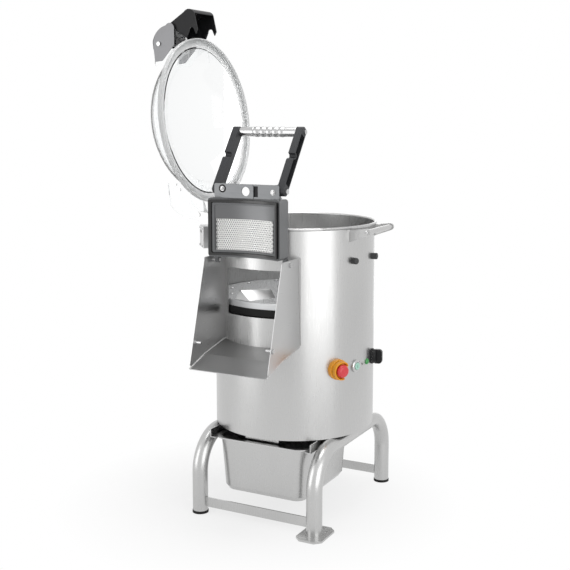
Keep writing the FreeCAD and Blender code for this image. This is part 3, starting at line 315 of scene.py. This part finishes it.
# geometry node helpers
def newTree(name, inputs):
    tree = bpy.data.node_groups.new(name, "GeometryNodeTree")
    tree.interface.new_socket("Geometry", in_out="INPUT", socket_type="NodeSocketGeometry")
    for label, kind in inputs.items():
        tree.interface.new_socket(label, in_out="INPUT", socket_type="NodeSocket" + kind)
    tree.interface.new_socket("Geometry", in_out="OUTPUT", socket_type="NodeSocketGeometry")
    return tree, tree.nodes.new("NodeGroupInput"), tree.nodes.new("NodeGroupOutput")


def finishTree(tree, geometry, material, groupOut):
    realize = tree.nodes.new("GeometryNodeRealizeInstances")
    paint = tree.nodes.new("GeometryNodeSetMaterial")
    join(tree, geometry, realize.inputs[0])
    join(tree, realize.outputs[0], paint.inputs["Geometry"])
    join(tree, material, paint.inputs["Material"])
    join(tree, paint.outputs[0], groupOut.inputs[0])


def grown(name, tree, values, mesh=None):  # runs a tree on a mesh and keeps the plain result
    source = newObject(name + "Seed", mesh or bpy.data.meshes.new(name + "Seed"))
    modifier = source.modifiers.new("grow", "NODES")
    modifier.node_group = tree
    for item in tree.interface.items_tree:
        if item.in_out == "INPUT" and item.name in values:
            modifier[item.identifier] = values[item.name]
    depsgraph = bpy.context.evaluated_depsgraph_get()
    plain = bpy.data.meshes.new_from_object(source.evaluated_get(depsgraph))
    plain.name = name
    source.modifiers.remove(modifier)
    bpy.data.objects.remove(source)
    piece = newObject(name, plain)
    print("stage:", name, len(plain.polygons), "faces")
    return piece


def meshFrom(name, bm):
    mesh = bpy.data.meshes.new(name)
    bm.to_mesh(mesh)
    bm.free()
    return mesh


def hiddenPattern(name, bm):  # a shape that a tree repeats; it is removed once it has been used
    bmesh.ops.recalc_face_normals(bm, faces=bm.faces)
    return newObject(name, meshFrom(name, bm))


def plainPiece(name, bm, finish, body):
    bmesh.ops.recalc_face_normals(bm, faces=bm.faces)
    piece = newObject(name, meshFrom(name, bm))
    piece.data.materials.append(finish)
    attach(piece, body)
    return piece


def circle(radius, height, sides):
    turns = [2 * math.pi * i / sides for i in range(sides)]
    return [Vector((radius * math.cos(a), radius * math.sin(a), height)) for a in turns]


def stepped(bm, outline, sides):  # closed solid turned about Z from (radius, height) pairs
    rings = [[bm.verts.new(spot) for spot in circle(radius, height, sides if radius else 1)]
             for radius, height in outline]
    for lowRing, highRing in zip(rings, rings[1:]):
        for i in range(max(len(lowRing), len(highRing))):
            a, b = lowRing[i % len(lowRing)], lowRing[(i + 1) % len(lowRing)]
            c, d = highRing[(i + 1) % len(highRing)], highRing[i % len(highRing)]
            if len(lowRing) == 1:
                corners = [a, c, d]
            elif len(highRing) == 1:
                corners = [a, b, c]
            else:
                corners = [a, b, c, d]
            bm.faces.new(corners)


# small parts that the trees repeat, each of unit size: outlines of (radius, height), and their sides
lumpOutline = [(0, -0.3), (0.8, -0.3), (1.0, 0.0), (0.72, 0.45), (0, 0.62)]
unitParts = {
    "hexBolt": [([(0, 0), (1.25, 0), (1.25, 0.16), (0.98, 0.2), (0, 0.2)], 16),
                ([(0, 0.18), (1.0, 0.18), (1.0, 0.68), (0.86, 0.8), (0, 0.8)], 6)],
    "capScrew": [([(0, 0), (1.0, 0), (1.0, 0.5), (0.88, 0.62), (0.45, 0.62), (0.45, 0.25), (0, 0.25)], 12)],
    "domeNut": [([(0, 0), (1.3, 0), (1.3, 0.14), (0, 0.14)], 16),
                ([(0, 0.12), (1.0, 0.12), (1.0, 0.55), (0.9, 0.6), (0, 0.6)], 6),
                ([(0, 0.58), (0.72, 0.58), (0.66, 0.95), (0.42, 1.2), (0, 1.28)], 12)],
    "washer": [([(0, 0), (1.0, 0), (1.0, 0.12), (0.94, 0.16), (0, 0.16)], 20)],
    "grain": [(lumpOutline, 7)],
    "bead": [(lumpOutline, 8)],
}


def unitPart(name):
    bm = bmesh.new()
    for outline, sides in unitParts[name]:
        stepped(bm, outline, sides)
    return hiddenPattern(name, bm)


def spotTree(name):  # a small part on every point, turned to the point's own direction
    tree, groupIn, groupOut = newTree(name, {"Part": "Object", "Size": "Float", "Finish": "Material"})
    part = addNode(tree, "GeometryNodeObjectInfo")
    aim = addNode(tree, "GeometryNodeInputNamedAttribute", data_type="FLOAT_VECTOR")
    aim.inputs["Name"].default_value = "aim"
    turnTo = addNode(tree, "FunctionNodeAlignRotationToVector", axis="Z")
    spots = tree.nodes.new("GeometryNodeInstanceOnPoints")
    join(tree, groupIn.outputs["Part"], part.inputs["Object"])
    join(tree, aim.outputs[0], turnTo.inputs["Vector"])
    join(tree, groupIn.outputs["Geometry"], spots.inputs["Points"])
    join(tree, part.outputs["Geometry"], spots.inputs["Instance"])
    join(tree, turnTo.outputs[0], spots.inputs["Rotation"])
    join(tree, groupIn.outputs["Size"], spots.inputs["Scale"])
    finishTree(tree, spots.outputs[0], groupIn.outputs["Finish"], groupOut)
    return tree


def spotMesh(name, spots):  # spots are (place, direction) pairs
    mesh = bpy.data.meshes.new(name)
    mesh.from_pydata([tuple(spot) for spot, _ in spots], [], [])
    aim = mesh.attributes.new("aim", "FLOAT_VECTOR", "POINT")
    for item, (_, direction) in zip(aim.data, spots):
        item.vector = direction
    return mesh


# perforated sheet on the door's inner face
grater = {"rows": 15, "pitch": 0.0065, "holeRadius": 0.00175, "wall": 0.0009, "collar": 0.0004,
          "holeSides": 16, "mergeWithin": 0.00002,
          "plainWall": 0.0035}  # of the frame's own sheet, which this one replaces


def graterTile(rowGap):  # one hole in its own rectangle of sheet, its rim pressed up into a low collar
    bm = bmesh.new()
    halfX, halfY = grater["pitch"] / 2, rowGap / 2
    border = [bm.verts.new((x * halfX, y * halfY, 0)) for x, y in
              ((1, 0), (1, 1), (0, 1), (-1, 1), (-1, 0), (-1, -1), (0, -1), (1, -1))]
    sides = grater["holeSides"]
    rimVerts = [bm.verts.new(spot) for spot in circle(grater["holeRadius"], grater["collar"], sides)]
    step = sides // 8
    for i in range(8):
        inner = [rimVerts[(i * step + k) % sides] for k in range(step, -1, -1)]
        bm.faces.new([border[i], border[(i + 1) % 8]] + inner)
    return hiddenPattern("graterTile", bm)


def perforatedTree():
    tree, groupIn, groupOut = newTree("perforatedSheet", {
        "Tile": "Object", "Rows": "Int", "Columns": "Int", "Row gap": "Float", "Pitch": "Float",
        "Wall": "Float", "Face radius": "Float", "Centre": "Vector", "Finish": "Material"})
    tile = addNode(tree, "GeometryNodeObjectInfo")
    join(tree, groupIn.outputs["Tile"], tile.inputs["Object"])
    grid = tree.nodes.new("GeometryNodeMeshGrid")
    join(tree, groupIn.outputs["Columns"], grid.inputs["Vertices X"])
    join(tree, groupIn.outputs["Rows"], grid.inputs["Vertices Y"])
    for count, gap, size in (("Columns", "Pitch", "Size X"), ("Rows", "Row gap", "Size Y")):
        gaps = maths(tree, "SUBTRACT", groupIn.outputs[count], 1)
        join(tree, maths(tree, "MULTIPLY", gaps, groupIn.outputs[gap]), grid.inputs[size])
    # every second row moves on by half a hole's pitch
    index = tree.nodes.new("GeometryNodeInputIndex")
    row = maths(tree, "MODULO", index.outputs[0], groupIn.outputs["Rows"])
    odd = maths(tree, "SUBTRACT", maths(tree, "MODULO", row, 2), 0.5)
    sideStep = tree.nodes.new("ShaderNodeCombineXYZ")
    halfPitch = maths(tree, "MULTIPLY", groupIn.outputs["Pitch"], 0.5)
    join(tree, maths(tree, "MULTIPLY", odd, halfPitch), sideStep.inputs["X"])
    stagger = tree.nodes.new("GeometryNodeSetPosition")
    join(tree, grid.outputs["Mesh"], stagger.inputs["Geometry"])
    join(tree, sideStep.outputs[0], stagger.inputs["Offset"])
    spots = tree.nodes.new("GeometryNodeInstanceOnPoints")
    join(tree, stagger.outputs[0], spots.inputs["Points"])
    join(tree, tile.outputs["Geometry"], spots.inputs["Instance"])
    loose = tree.nodes.new("GeometryNodeRealizeInstances")
    join(tree, spots.outputs[0], loose.inputs[0])
    welded = addNode(tree, "GeometryNodeMergeByDistance", Distance=grater["mergeWithin"])
    join(tree, loose.outputs[0], welded.inputs["Geometry"])
    # a second, flipped skin and the walls between make it a closed sheet
    through = tree.nodes.new("ShaderNodeCombineXYZ")
    join(tree, groupIn.outputs["Wall"], through.inputs["Z"])
    pushed = addNode(tree, "GeometryNodeExtrudeMesh", mode="FACES", Individual=False)
    pushed.inputs["Offset Scale"].default_value = 1.0
    join(tree, welded.outputs[0], pushed.inputs["Mesh"])
    join(tree, through.outputs[0], pushed.inputs["Offset"])
    back = tree.nodes.new("GeometryNodeFlipFaces")
    join(tree, welded.outputs[0], back.inputs[0])
    both = tree.nodes.new("GeometryNodeJoinGeometry")
    join(tree, pushed.outputs["Mesh"], both.inputs[0])
    join(tree, back.outputs[0], both.inputs[0])
    closed = addNode(tree, "GeometryNodeMergeByDistance", Distance=grater["mergeWithin"])
    join(tree, both.outputs[0], closed.inputs["Geometry"])
    # roll the flat sheet onto the door's face: across becomes an angle, up stays up
    spot = tree.nodes.new("GeometryNodeInputPosition")
    parts = tree.nodes.new("ShaderNodeSeparateXYZ")
    join(tree, spot.outputs[0], parts.inputs[0])
    angle = maths(tree, "DIVIDE", parts.outputs["X"], groupIn.outputs["Face radius"])
    depth = maths(tree, "SUBTRACT", groupIn.outputs["Face radius"], parts.outputs["Z"])
    rolled = tree.nodes.new("ShaderNodeCombineXYZ")
    join(tree, maths(tree, "MULTIPLY", maths(tree, "SINE", angle, 0), depth), rolled.inputs["X"])
    join(tree, maths(tree, "MULTIPLY", maths(tree, "COSINE", angle, 0), depth), rolled.inputs["Y"])
    join(tree, parts.outputs["Y"], rolled.inputs["Z"])
    centred = addNode(tree, "ShaderNodeVectorMath", operation="ADD")
    join(tree, rolled.outputs[0], centred.inputs[0])
    join(tree, groupIn.outputs["Centre"], centred.inputs[1])
    roll = tree.nodes.new("GeometryNodeSetPosition")
    join(tree, closed.outputs[0], roll.inputs["Geometry"])
    join(tree, centred.outputs[0], roll.inputs["Position"])
    finishTree(tree, roll.outputs[0], groupIn.outputs["Finish"], groupOut)
    return tree


def makeGrater():
    low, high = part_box("grater_sheet")
    width, depth = high.x - low.x, high.y - low.y - grater["plainWall"]
    radius = (width * width / 4 + depth * depth) / (2 * depth)  # of the door's curved face
    rowGap = (high.z - low.z) / grater["rows"]
    tile = graterTile(rowGap)
    centre = Vector(((low.x + high.x) / 2, high.y - grater["plainWall"] - radius, (low.z + high.z) / 2))
    sheet = grown("graterSheet", perforatedTree(), {
        "Tile": tile, "Rows": grater["rows"], "Columns": int((width - grater["pitch"] / 2) / grater["pitch"]),
        "Row gap": rowGap, "Pitch": grater["pitch"], "Wall": grater["wall"],
        "Face radius": radius + grater["wall"], "Centre": centre, "Finish": finishes["grater"]})
    bpy.data.objects.remove(tile)
    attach(sheet, "door")
    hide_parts("grater_sheet")


makeGrater()


# grit on the disc's top: low lumps scattered between the hub and the rim
grit = {"inner": 0.055, "outer": 0.236, "height": 0.0001, "gap": 0.0058, "density": 60000.0, "seed": 7,
        "smallest": 0.0014, "largest": 0.0024, "groundSides": 64}


def scatterTree():
    tree, groupIn, groupOut = newTree("gritField", {
        "Lump": "Object", "Gap": "Float", "Density": "Float", "Smallest": "Float", "Largest": "Float",
        "Seed": "Int", "Finish": "Material"})
    part = addNode(tree, "GeometryNodeObjectInfo")
    join(tree, groupIn.outputs["Lump"], part.inputs["Object"])
    sown = addNode(tree, "GeometryNodeDistributePointsOnFaces", distribute_method="POISSON")
    join(tree, groupIn.outputs["Geometry"], sown.inputs["Mesh"])
    join(tree, groupIn.outputs["Gap"], sown.inputs["Distance Min"])
    join(tree, groupIn.outputs["Density"], sown.inputs["Density Max"])
    join(tree, groupIn.outputs["Seed"], sown.inputs["Seed"])
    size = addNode(tree, "FunctionNodeRandomValue", data_type="FLOAT")
    join(tree, groupIn.outputs["Smallest"], size.inputs[2])
    join(tree, groupIn.outputs["Largest"], size.inputs[3])
    join(tree, groupIn.outputs["Seed"], size.inputs["Seed"])
    spots = tree.nodes.new("GeometryNodeInstanceOnPoints")
    join(tree, sown.outputs["Points"], spots.inputs["Points"])
    join(tree, part.outputs["Geometry"], spots.inputs["Instance"])
    join(tree, size.outputs[1], spots.inputs["Scale"])
    finishTree(tree, spots.outputs[0], groupIn.outputs["Finish"], groupOut)
    return tree


def ringMesh(name, inner, outer, centre, sides):
    bm = bmesh.new()
    loops = [[bm.verts.new(centre + spot) for spot in circle(radius, 0, sides)] for radius in (inner, outer)]
    for i in range(sides):
        j = (i + 1) % sides
        bm.faces.new([loops[0][i], loops[1][i], loops[1][j], loops[0][j]])
    return meshFrom(name, bm)


def makeGrit():
    pattern = unitPart("grain")
    ground = ringMesh("gritGround", grit["inner"], grit["outer"], place(0, 0, discTop + grit["height"]),
                      grit["groundSides"])
    field = grown("discGrit", scatterTree(), {
        "Lump": pattern, "Gap": grit["gap"], "Density": grit["density"], "Smallest": grit["smallest"],
        "Largest": grit["largest"], "Seed": grit["seed"], "Finish": finishes["grit"]}, ground)
    bpy.data.objects.remove(pattern)
    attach(field, "disc")


makeGrit()

# bolts, nuts and screws, one piece for each body and kind
# a spot is a place, (x, y, z) from the drum's axis and the floor, and the direction that it faces
switchBox = {"angle": -139.0, "face": 0.297, "height": 0.8555, "across": 0.024, "up": 0.027}


def boxSpots():
    outward, along, up = wallAxes(switchBox["angle"])
    x, z = switchBox["across"], switchBox["up"]
    return [(outward * switchBox["face"] + along * side + up * (switchBox["height"] + lift), outward)
            for side in (-x, x) for lift in (-z, z)]


def ringSpots(count, radius, height, facing, back=0.0):  # on a circle about the drum's axis, or behind it
    turns = [2 * math.pi * (i + 0.5) / count for i in range(count)]
    return [((radius * math.cos(a), back + radius * math.sin(a), height), (0, 0, facing)) for a in turns]


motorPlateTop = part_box("motor_plate")[1].z
fastenings = {
    "doorNut": {"body": "door", "part": "domeNut", "size": 0.0055, "slot": "bolt_steel",
                "spots": [((-0.0785, -0.3078, 1.0155), (0, -1, 0))]},
    "doorWasher": {"body": "door", "part": "washer", "size": 0.012, "slot": "black_rubber",
                   "spots": [((-0.0785, -0.3061, 1.0155), (0, -1, 0))]},
    "bracketBolt": {"body": "door", "part": "hexBolt", "size": 0.0062, "slot": "bolt_steel",
                    "spots": [((0.087, -0.3061, 1.009), (0, -1, 0))]},
    "rodEnds": {"body": "machine", "part": "capScrew", "size": 0.0062, "slot": "bolt_steel",
                "spots": [((0.285, side * 0.0972, 0.884), (0, side, 0)) for side in (-1, 1)]},
    "boxScrews": {"body": "machine", "part": "capScrew", "size": 0.0036, "slot": "bolt_steel",
                  "spots": boxSpots()},
    "discBolts": {"body": "disc", "part": "capScrew", "size": 0.0062, "slot": "bolt_steel",
                  "spots": ringSpots(6, 0.095, discTop, 1) + ringSpots(12, 0.205, discTop, 1)},
    "motorBolts": {"body": "machine", "part": "hexBolt", "size": 0.0065, "slot": "bolt_steel",
                   "spots": ringSpots(4, 0.058, motorPlateTop, 1, back=0.155)},
    "housingBolts": {"body": "machine", "part": "hexBolt", "size": 0.005, "slot": "bolt_steel",
                     "spots": ringSpots(4, 0.053, 0.586, -1)},
}
fasteningTree = spotTree("fastenings")
for name, kind in fastenings.items():
    pattern = unitPart(kind["part"])
    spots = [(place(*spot), direction) for spot, direction in kind["spots"]]
    values = {"Part": pattern, "Size": kind["size"], "Finish": finishes[kind["slot"]]}
    piece = grown(name, fasteningTree, values, spotMesh(name + "Spots", spots))
    bpy.data.objects.remove(pattern)
    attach(piece, kind["body"])

# chute sides run on to the drum, behind their folded edges
chute = {"sheet": 0.002, "backTop": -0.2302, "backLow": -0.2162, "top": 0.8148, "low": 0.553,
         "intoWall": 0.0006, "floorLine": ((-0.2165, 0.5510), (-0.336, 0.5265), (-0.4178, 0.4990))}


def solidPlate(bm, outline, x0, x1):  # closed plate across X from a (y, z) outline
    near = [bm.verts.new(place(x0, y, z)) for y, z in outline]
    far = [bm.verts.new(place(x1, y, z)) for y, z in outline]
    bm.faces.new(near)
    bm.faces.new(far[::-1])
    for i in range(len(outline)):
        j = (i + 1) % len(outline)
        bm.faces.new([near[j], near[i], far[i], far[j]])


def makeChuteInfill():
    low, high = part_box("chute_sides")
    halfWidth = (high.x - low.x) / 2
    bm = bmesh.new()
    for side in (-1, 1):
        inner, outer = side * (halfWidth - chute["sheet"]), side * halfWidth
        wall = -math.sqrt(drumRadius ** 2 - inner ** 2) + chute["intoWall"]
        outline = [(chute["backTop"], chute["top"]), (wall, chute["top"]),
                   (wall, chute["low"]), (chute["backLow"], chute["low"])]
        solidPlate(bm, outline, inner, outer)
    plainPiece("chuteInfill", bm, ownFinish["chute_sides"], "machine")


makeChuteInfill()

# weld beads: flattened lumps laid along a seam
weld = {"step": 0.0022, "size": 0.0021, "seed": 3, "spread": 0.12,
        "chuteSide": {"top": 0.811, "low": 0.557, "out": 0.0002},
        "chuteFloor": {"inward": 0.0003, "up": 0.0012},
        "lugs": {"across": (-0.0955, -0.0885, 0.0885, 0.0955), "rise": (0.002, 0.030), "out": 0.0004},
        "bars": {"legX": 0.197, "legY": 0.258, "legRadius": 0.024, "half": 0.0027, "inset": 0.001,
                 "out": 0.0002},
        "backSeam": {"angle": 90.0, "low": 0.268, "high": 0.884, "out": 0.0008}}


def weldTree():
    tree, groupIn, groupOut = newTree("weldBead", {
        "Lump": "Object", "Step": "Float", "Size": "Float", "Spread": "Float", "Seed": "Int",
        "Finish": "Material"})
    part = addNode(tree, "GeometryNodeObjectInfo")
    join(tree, groupIn.outputs["Lump"], part.inputs["Object"])
    seam = tree.nodes.new("GeometryNodeMeshToCurve")
    join(tree, groupIn.outputs["Geometry"], seam.inputs["Mesh"])
    stops = addNode(tree, "GeometryNodeCurveToPoints", mode="LENGTH")
    join(tree, seam.outputs[0], stops.inputs["Curve"])
    join(tree, groupIn.outputs["Step"], stops.inputs["Length"])
    wobble = addNode(tree, "FunctionNodeRandomValue", data_type="FLOAT")
    join(tree, maths(tree, "SUBTRACT", 1.0, groupIn.outputs["Spread"]), wobble.inputs[2])
    join(tree, maths(tree, "ADD", 1.0, groupIn.outputs["Spread"]), wobble.inputs[3])
    join(tree, groupIn.outputs["Seed"], wobble.inputs["Seed"])
    spots = tree.nodes.new("GeometryNodeInstanceOnPoints")
    join(tree, stops.outputs["Points"], spots.inputs["Points"])
    join(tree, part.outputs["Geometry"], spots.inputs["Instance"])
    join(tree, stops.outputs["Rotation"], spots.inputs["Rotation"])
    join(tree, maths(tree, "MULTIPLY", wobble.outputs[1], groupIn.outputs["Size"]), spots.inputs["Scale"])
    finishTree(tree, spots.outputs[0], groupIn.outputs["Finish"], groupOut)
    return tree


def seamMesh(name, lines):
    mesh = bpy.data.meshes.new(name)
    points, edges = [], []
    for line in lines:
        edges += [(len(points) + i, len(points) + i + 1) for i in range(len(line) - 1)]
        points += [tuple(p) for p in line]
    mesh.from_pydata(points, edges, [])
    return mesh


def chuteSeams():
    chuteLow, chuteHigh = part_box("chute_sides")
    halfWidth = (chuteHigh.x - chuteLow.x) / 2
    edge, corner = weld["chuteSide"], weld["chuteFloor"]
    lines = []
    for side in (-1, 1):
        x = side * (halfWidth + edge["out"])
        lines.append([place(x, chute["backTop"], edge["top"]), place(x, chute["backLow"], edge["low"])])
        x = side * (halfWidth - chute["sheet"] - corner["inward"])  # along the floor, inside each side plate
        lines.append([place(x, y, z + corner["up"]) for y, z in chute["floorLine"]])
    return lines


def lugSeams():
    lugs, foot = weld["lugs"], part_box("drum_lugs")[0].z
    lines = []
    for end in (-1, 1):
        for y in lugs["across"]:
            x = end * (math.sqrt(drumRadius ** 2 - y ** 2) + lugs["out"])
            lines.append([place(x, y, foot + rise) for rise in lugs["rise"]])
    return lines


def barSeams():  # where the flat bars meet the legs
    bars = weld["bars"]
    barLow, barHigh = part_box("stretchers")
    low, high = barLow.z + bars["inset"], barHigh.z - bars["inset"]
    reach = bars["legX"] - math.sqrt(bars["legRadius"] ** 2 - bars["half"] ** 2) - bars["out"]
    lines = []
    for end in (-1, 1):
        for side in (-1, 1):
            for face in (-1, 1):
                y = side * bars["legY"] + face * bars["half"]
                lines.append([place(end * reach, y, z) for z in (low, high)])
    return lines


def makeWelds():
    back = weld["backSeam"]
    lines = chuteSeams() + lugSeams() + barSeams()
    lines.append([onDrum(back["angle"], z, back["out"]) for z in (back["low"], back["high"])])
    pattern = unitPart("bead")
    beads = grown("weldBeads", weldTree(), {
        "Lump": pattern, "Step": weld["step"], "Size": weld["size"], "Spread": weld["spread"],
        "Seed": weld["seed"], "Finish": finishes["stainless"]}, seamMesh("weldSeams", lines))
    bpy.data.objects.remove(pattern)
    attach(beads, "machine")


makeWelds()

# minute marks round the timer's plate
timer = {"angle": 11.5, "height": 0.4795, "marks": 13, "from": 210.0, "to": -30.0, "ring": 0.0232,
         "mark": (0.0007, 0.0022, 0.00035), "out": 0.0051, "longEvery": 3, "short": 0.6}


def makeMarks():
    outward, across, up = wallAxes(timer["angle"])
    middle = place(0, 0, timer["height"]) + outward * (drumRadius + timer["out"])
    width, length, depth = timer["mark"]
    bm = bmesh.new()
    for i in range(timer["marks"]):
        t = math.radians(timer["from"] + (timer["to"] - timer["from"]) * i / (timer["marks"] - 1))
        radial = across * math.cos(t) + up * math.sin(t)
        sideways = outward.cross(radial)
        long = length * (1.0 if i % timer["longEvery"] == 0 else timer["short"])
        centre = middle + radial * (timer["ring"] - long / 2)
        basis = Matrix((sideways, radial, outward)).transposed().to_4x4()
        box = Matrix.Translation(centre) @ basis @ Matrix.Diagonal((width, long, depth, 1))
        bmesh.ops.create_cube(bm, size=1.0, matrix=box)
    plainPiece("timerMarks", bm, finishes["pale_plastic"], "machine")


makeMarks()

# tall guard wall round the stop button, open at the lower right
guard = {"angle": -32.5, "height": 0.4745, "from": 38.0, "to": 292.0, "steps": 40,
         "section": ((0.0235, 0.0125), (0.0290, 0.0125), (0.0282, 0.0290),
                     (0.0268, 0.0330), (0.0246, 0.0330)),  # radius and height over the drum's wall
         "slope": {0: 0.72, 1: 0.90, 2: 0.97}}  # the wall's height falls over the last steps at both ends


def makeGuard():
    outward, across, up = wallAxes(guard["angle"])
    middle = place(0, 0, guard["height"])
    base = guard["section"][0][1]
    bm = bmesh.new()
    rings = []
    for i in range(guard["steps"] + 1):
        t = math.radians(guard["from"] + (guard["to"] - guard["from"]) * i / guard["steps"])
        fall = guard["slope"].get(min(i, guard["steps"] - i), 1.0)
        radial = across * math.cos(t) + up * math.sin(t)
        rings.append([bm.verts.new(middle + radial * r + outward * (drumRadius + base + (h - base) * fall))
                      for r, h in guard["section"]])
    for one, two in zip(rings, rings[1:]):
        for k in range(len(one)):
            m = (k + 1) % len(one)
            bm.faces.new([one[k], one[m], two[m], two[k]])
    bm.faces.new(rings[0][::-1])
    bm.faces.new(rings[-1])
    piece = plainPiece("stopGuard", bm, finishes["yellow_plastic"], "machine")
    for face in piece.data.polygons:
        face.use_smooth = True


makeGuard()

# plain start bar on the green button
startMark = {"angle": -15.5, "height": 0.473, "out": 0.00895, "size": (0.0016, 0.0085, 0.0005),
             "bevel": 0.0002}


def makeStartMark():
    outward, across, up = wallAxes(startMark["angle"])
    basis = Matrix((across, up, outward)).transposed().to_4x4()
    centre = place(0, 0, startMark["height"]) + outward * (drumRadius + startMark["out"])
    bm = bmesh.new()
    box = Matrix.Translation(centre) @ basis @ Matrix.Diagonal((*startMark["size"], 1))
    bmesh.ops.create_cube(bm, size=1.0, matrix=box)
    bmesh.ops.bevel(bm, geom=bm.edges[:], offset=startMark["bevel"], segments=1, affect="EDGES")
    plainPiece("startBar", bm, finishes["black_plastic"], "start_button")


makeStartMark()
print("stage: marks on the controls")


# floor and backdrop: white to the camera and in reflections, with the object's shadow kept on the floor
studio = {"floorSize": 14.0, "floorDrop": 0.0005, "paper": 0.85, "shadowShare": 0.27, "clearFrom": 0.2,
          "clearTo": 0.65, "worldLevel": 0.5, "lampLift": 0.05,
          "key": {"turn": 60.0, "away": 2.3, "size": (1.7, 1.9), "power": 16.0},
          "left": {"turn": -38.0, "away": 2.3, "size": (1.3, 1.9), "power": 11.0},
          "back": {"turn": 200.0, "away": 2.6, "size": (1.5, 1.9), "power": 8.0},  # these stand on the floor
          "top": {"over": (0.1, -0.1, 2.3), "size": (1.1, 1.1), "power": 14.0}}  # and one over the open drum


def seesBackdrop(tree):  # camera, glossy and transmission rays
    path = addNode(tree, "ShaderNodeLightPath")
    first = maths(tree, "MAXIMUM", path.outputs["Is Camera Ray"], path.outputs["Is Transmission Ray"])
    return maths(tree, "MAXIMUM", first, path.outputs["Is Glossy Ray"])


def makeFloor():
    material, tree, shader = newMaterial("paperFloor")
    shader.inputs["Base Color"].default_value = (studio["paper"], studio["paper"], studio["paper"], 1)
    shader.inputs["Roughness"].default_value = 0.9
    shader.inputs["Specular IOR Level"].default_value = 0.0
    glow = addNode(tree, "ShaderNodeEmission")
    glow.inputs["Color"].default_value = (1, 1, 1, 1)
    glow.inputs["Strength"].default_value = 1.0
    coords = addNode(tree, "ShaderNodeTexCoord")
    length = addNode(tree, "ShaderNodeVectorMath", operation="LENGTH")
    join(tree, coords.outputs["Object"], length.inputs[0])
    away = spanOf(tree, length.outputs["Value"], studio["clearFrom"], studio["clearTo"],
                  1 - studio["shadowShare"], 1.0)
    share = maths(tree, "MULTIPLY", seesBackdrop(tree), away)
    mix = addNode(tree, "ShaderNodeMixShader")
    join(tree, share, mix.inputs[0])
    join(tree, shader.outputs[0], mix.inputs[1])
    join(tree, glow.outputs[0], mix.inputs[2])
    join(tree, mix.outputs[0], tree.nodes["Material Output"].inputs["Surface"])
    half, down = studio["floorSize"] / 2, -studio["floorDrop"]
    mesh = bpy.data.meshes.new("paperFloor")
    mesh.from_pydata([(-half, -half, down), (half, -half, down), (half, half, down), (-half, half, down)],
                     [], [(0, 1, 2, 3)])
    mesh.materials.append(material)
    newObject("paperFloor", mesh)


def makeWorld():
    world = bpy.data.worlds.new("studio")
    bpy.context.scene.world = world
    world.use_nodes = True
    tree = world.node_tree
    light = tree.nodes["Background"]
    light.inputs["Color"].default_value = (1, 1, 1, 1)
    light.inputs["Strength"].default_value = studio["worldLevel"]
    white = addNode(tree, "ShaderNodeBackground")
    white.inputs["Color"].default_value = (1, 1, 1, 1)
    white.inputs["Strength"].default_value = 1.0
    mix = addNode(tree, "ShaderNodeMixShader")
    join(tree, seesBackdrop(tree), mix.inputs[0])
    join(tree, light.outputs[0], mix.inputs[1])
    join(tree, white.outputs[0], mix.inputs[2])
    join(tree, mix.outputs[0], tree.nodes["World Output"].inputs["Surface"])


def softbox(name, look):
    data = bpy.data.lights.new(name, "AREA")
    data.shape = "RECTANGLE"
    data.size, data.size_y = look["size"]
    data.energy = look["power"]
    lamp = newObject(name, data)
    if "over" in look:
        lamp.location = place(*look["over"])
        return
    angle = math.radians(look["turn"])
    lamp.location = place(look["away"] * math.sin(angle), -look["away"] * math.cos(angle),
                          look["size"][1] / 2 + studio["lampLift"])
    lamp.rotation_euler = (math.radians(90), 0, angle)


makeFloor()
makeWorld()
for name in ("key", "left", "back", "top"):
    softbox(name + "Softbox", studio[name])
print("stage: lamps and backdrop")
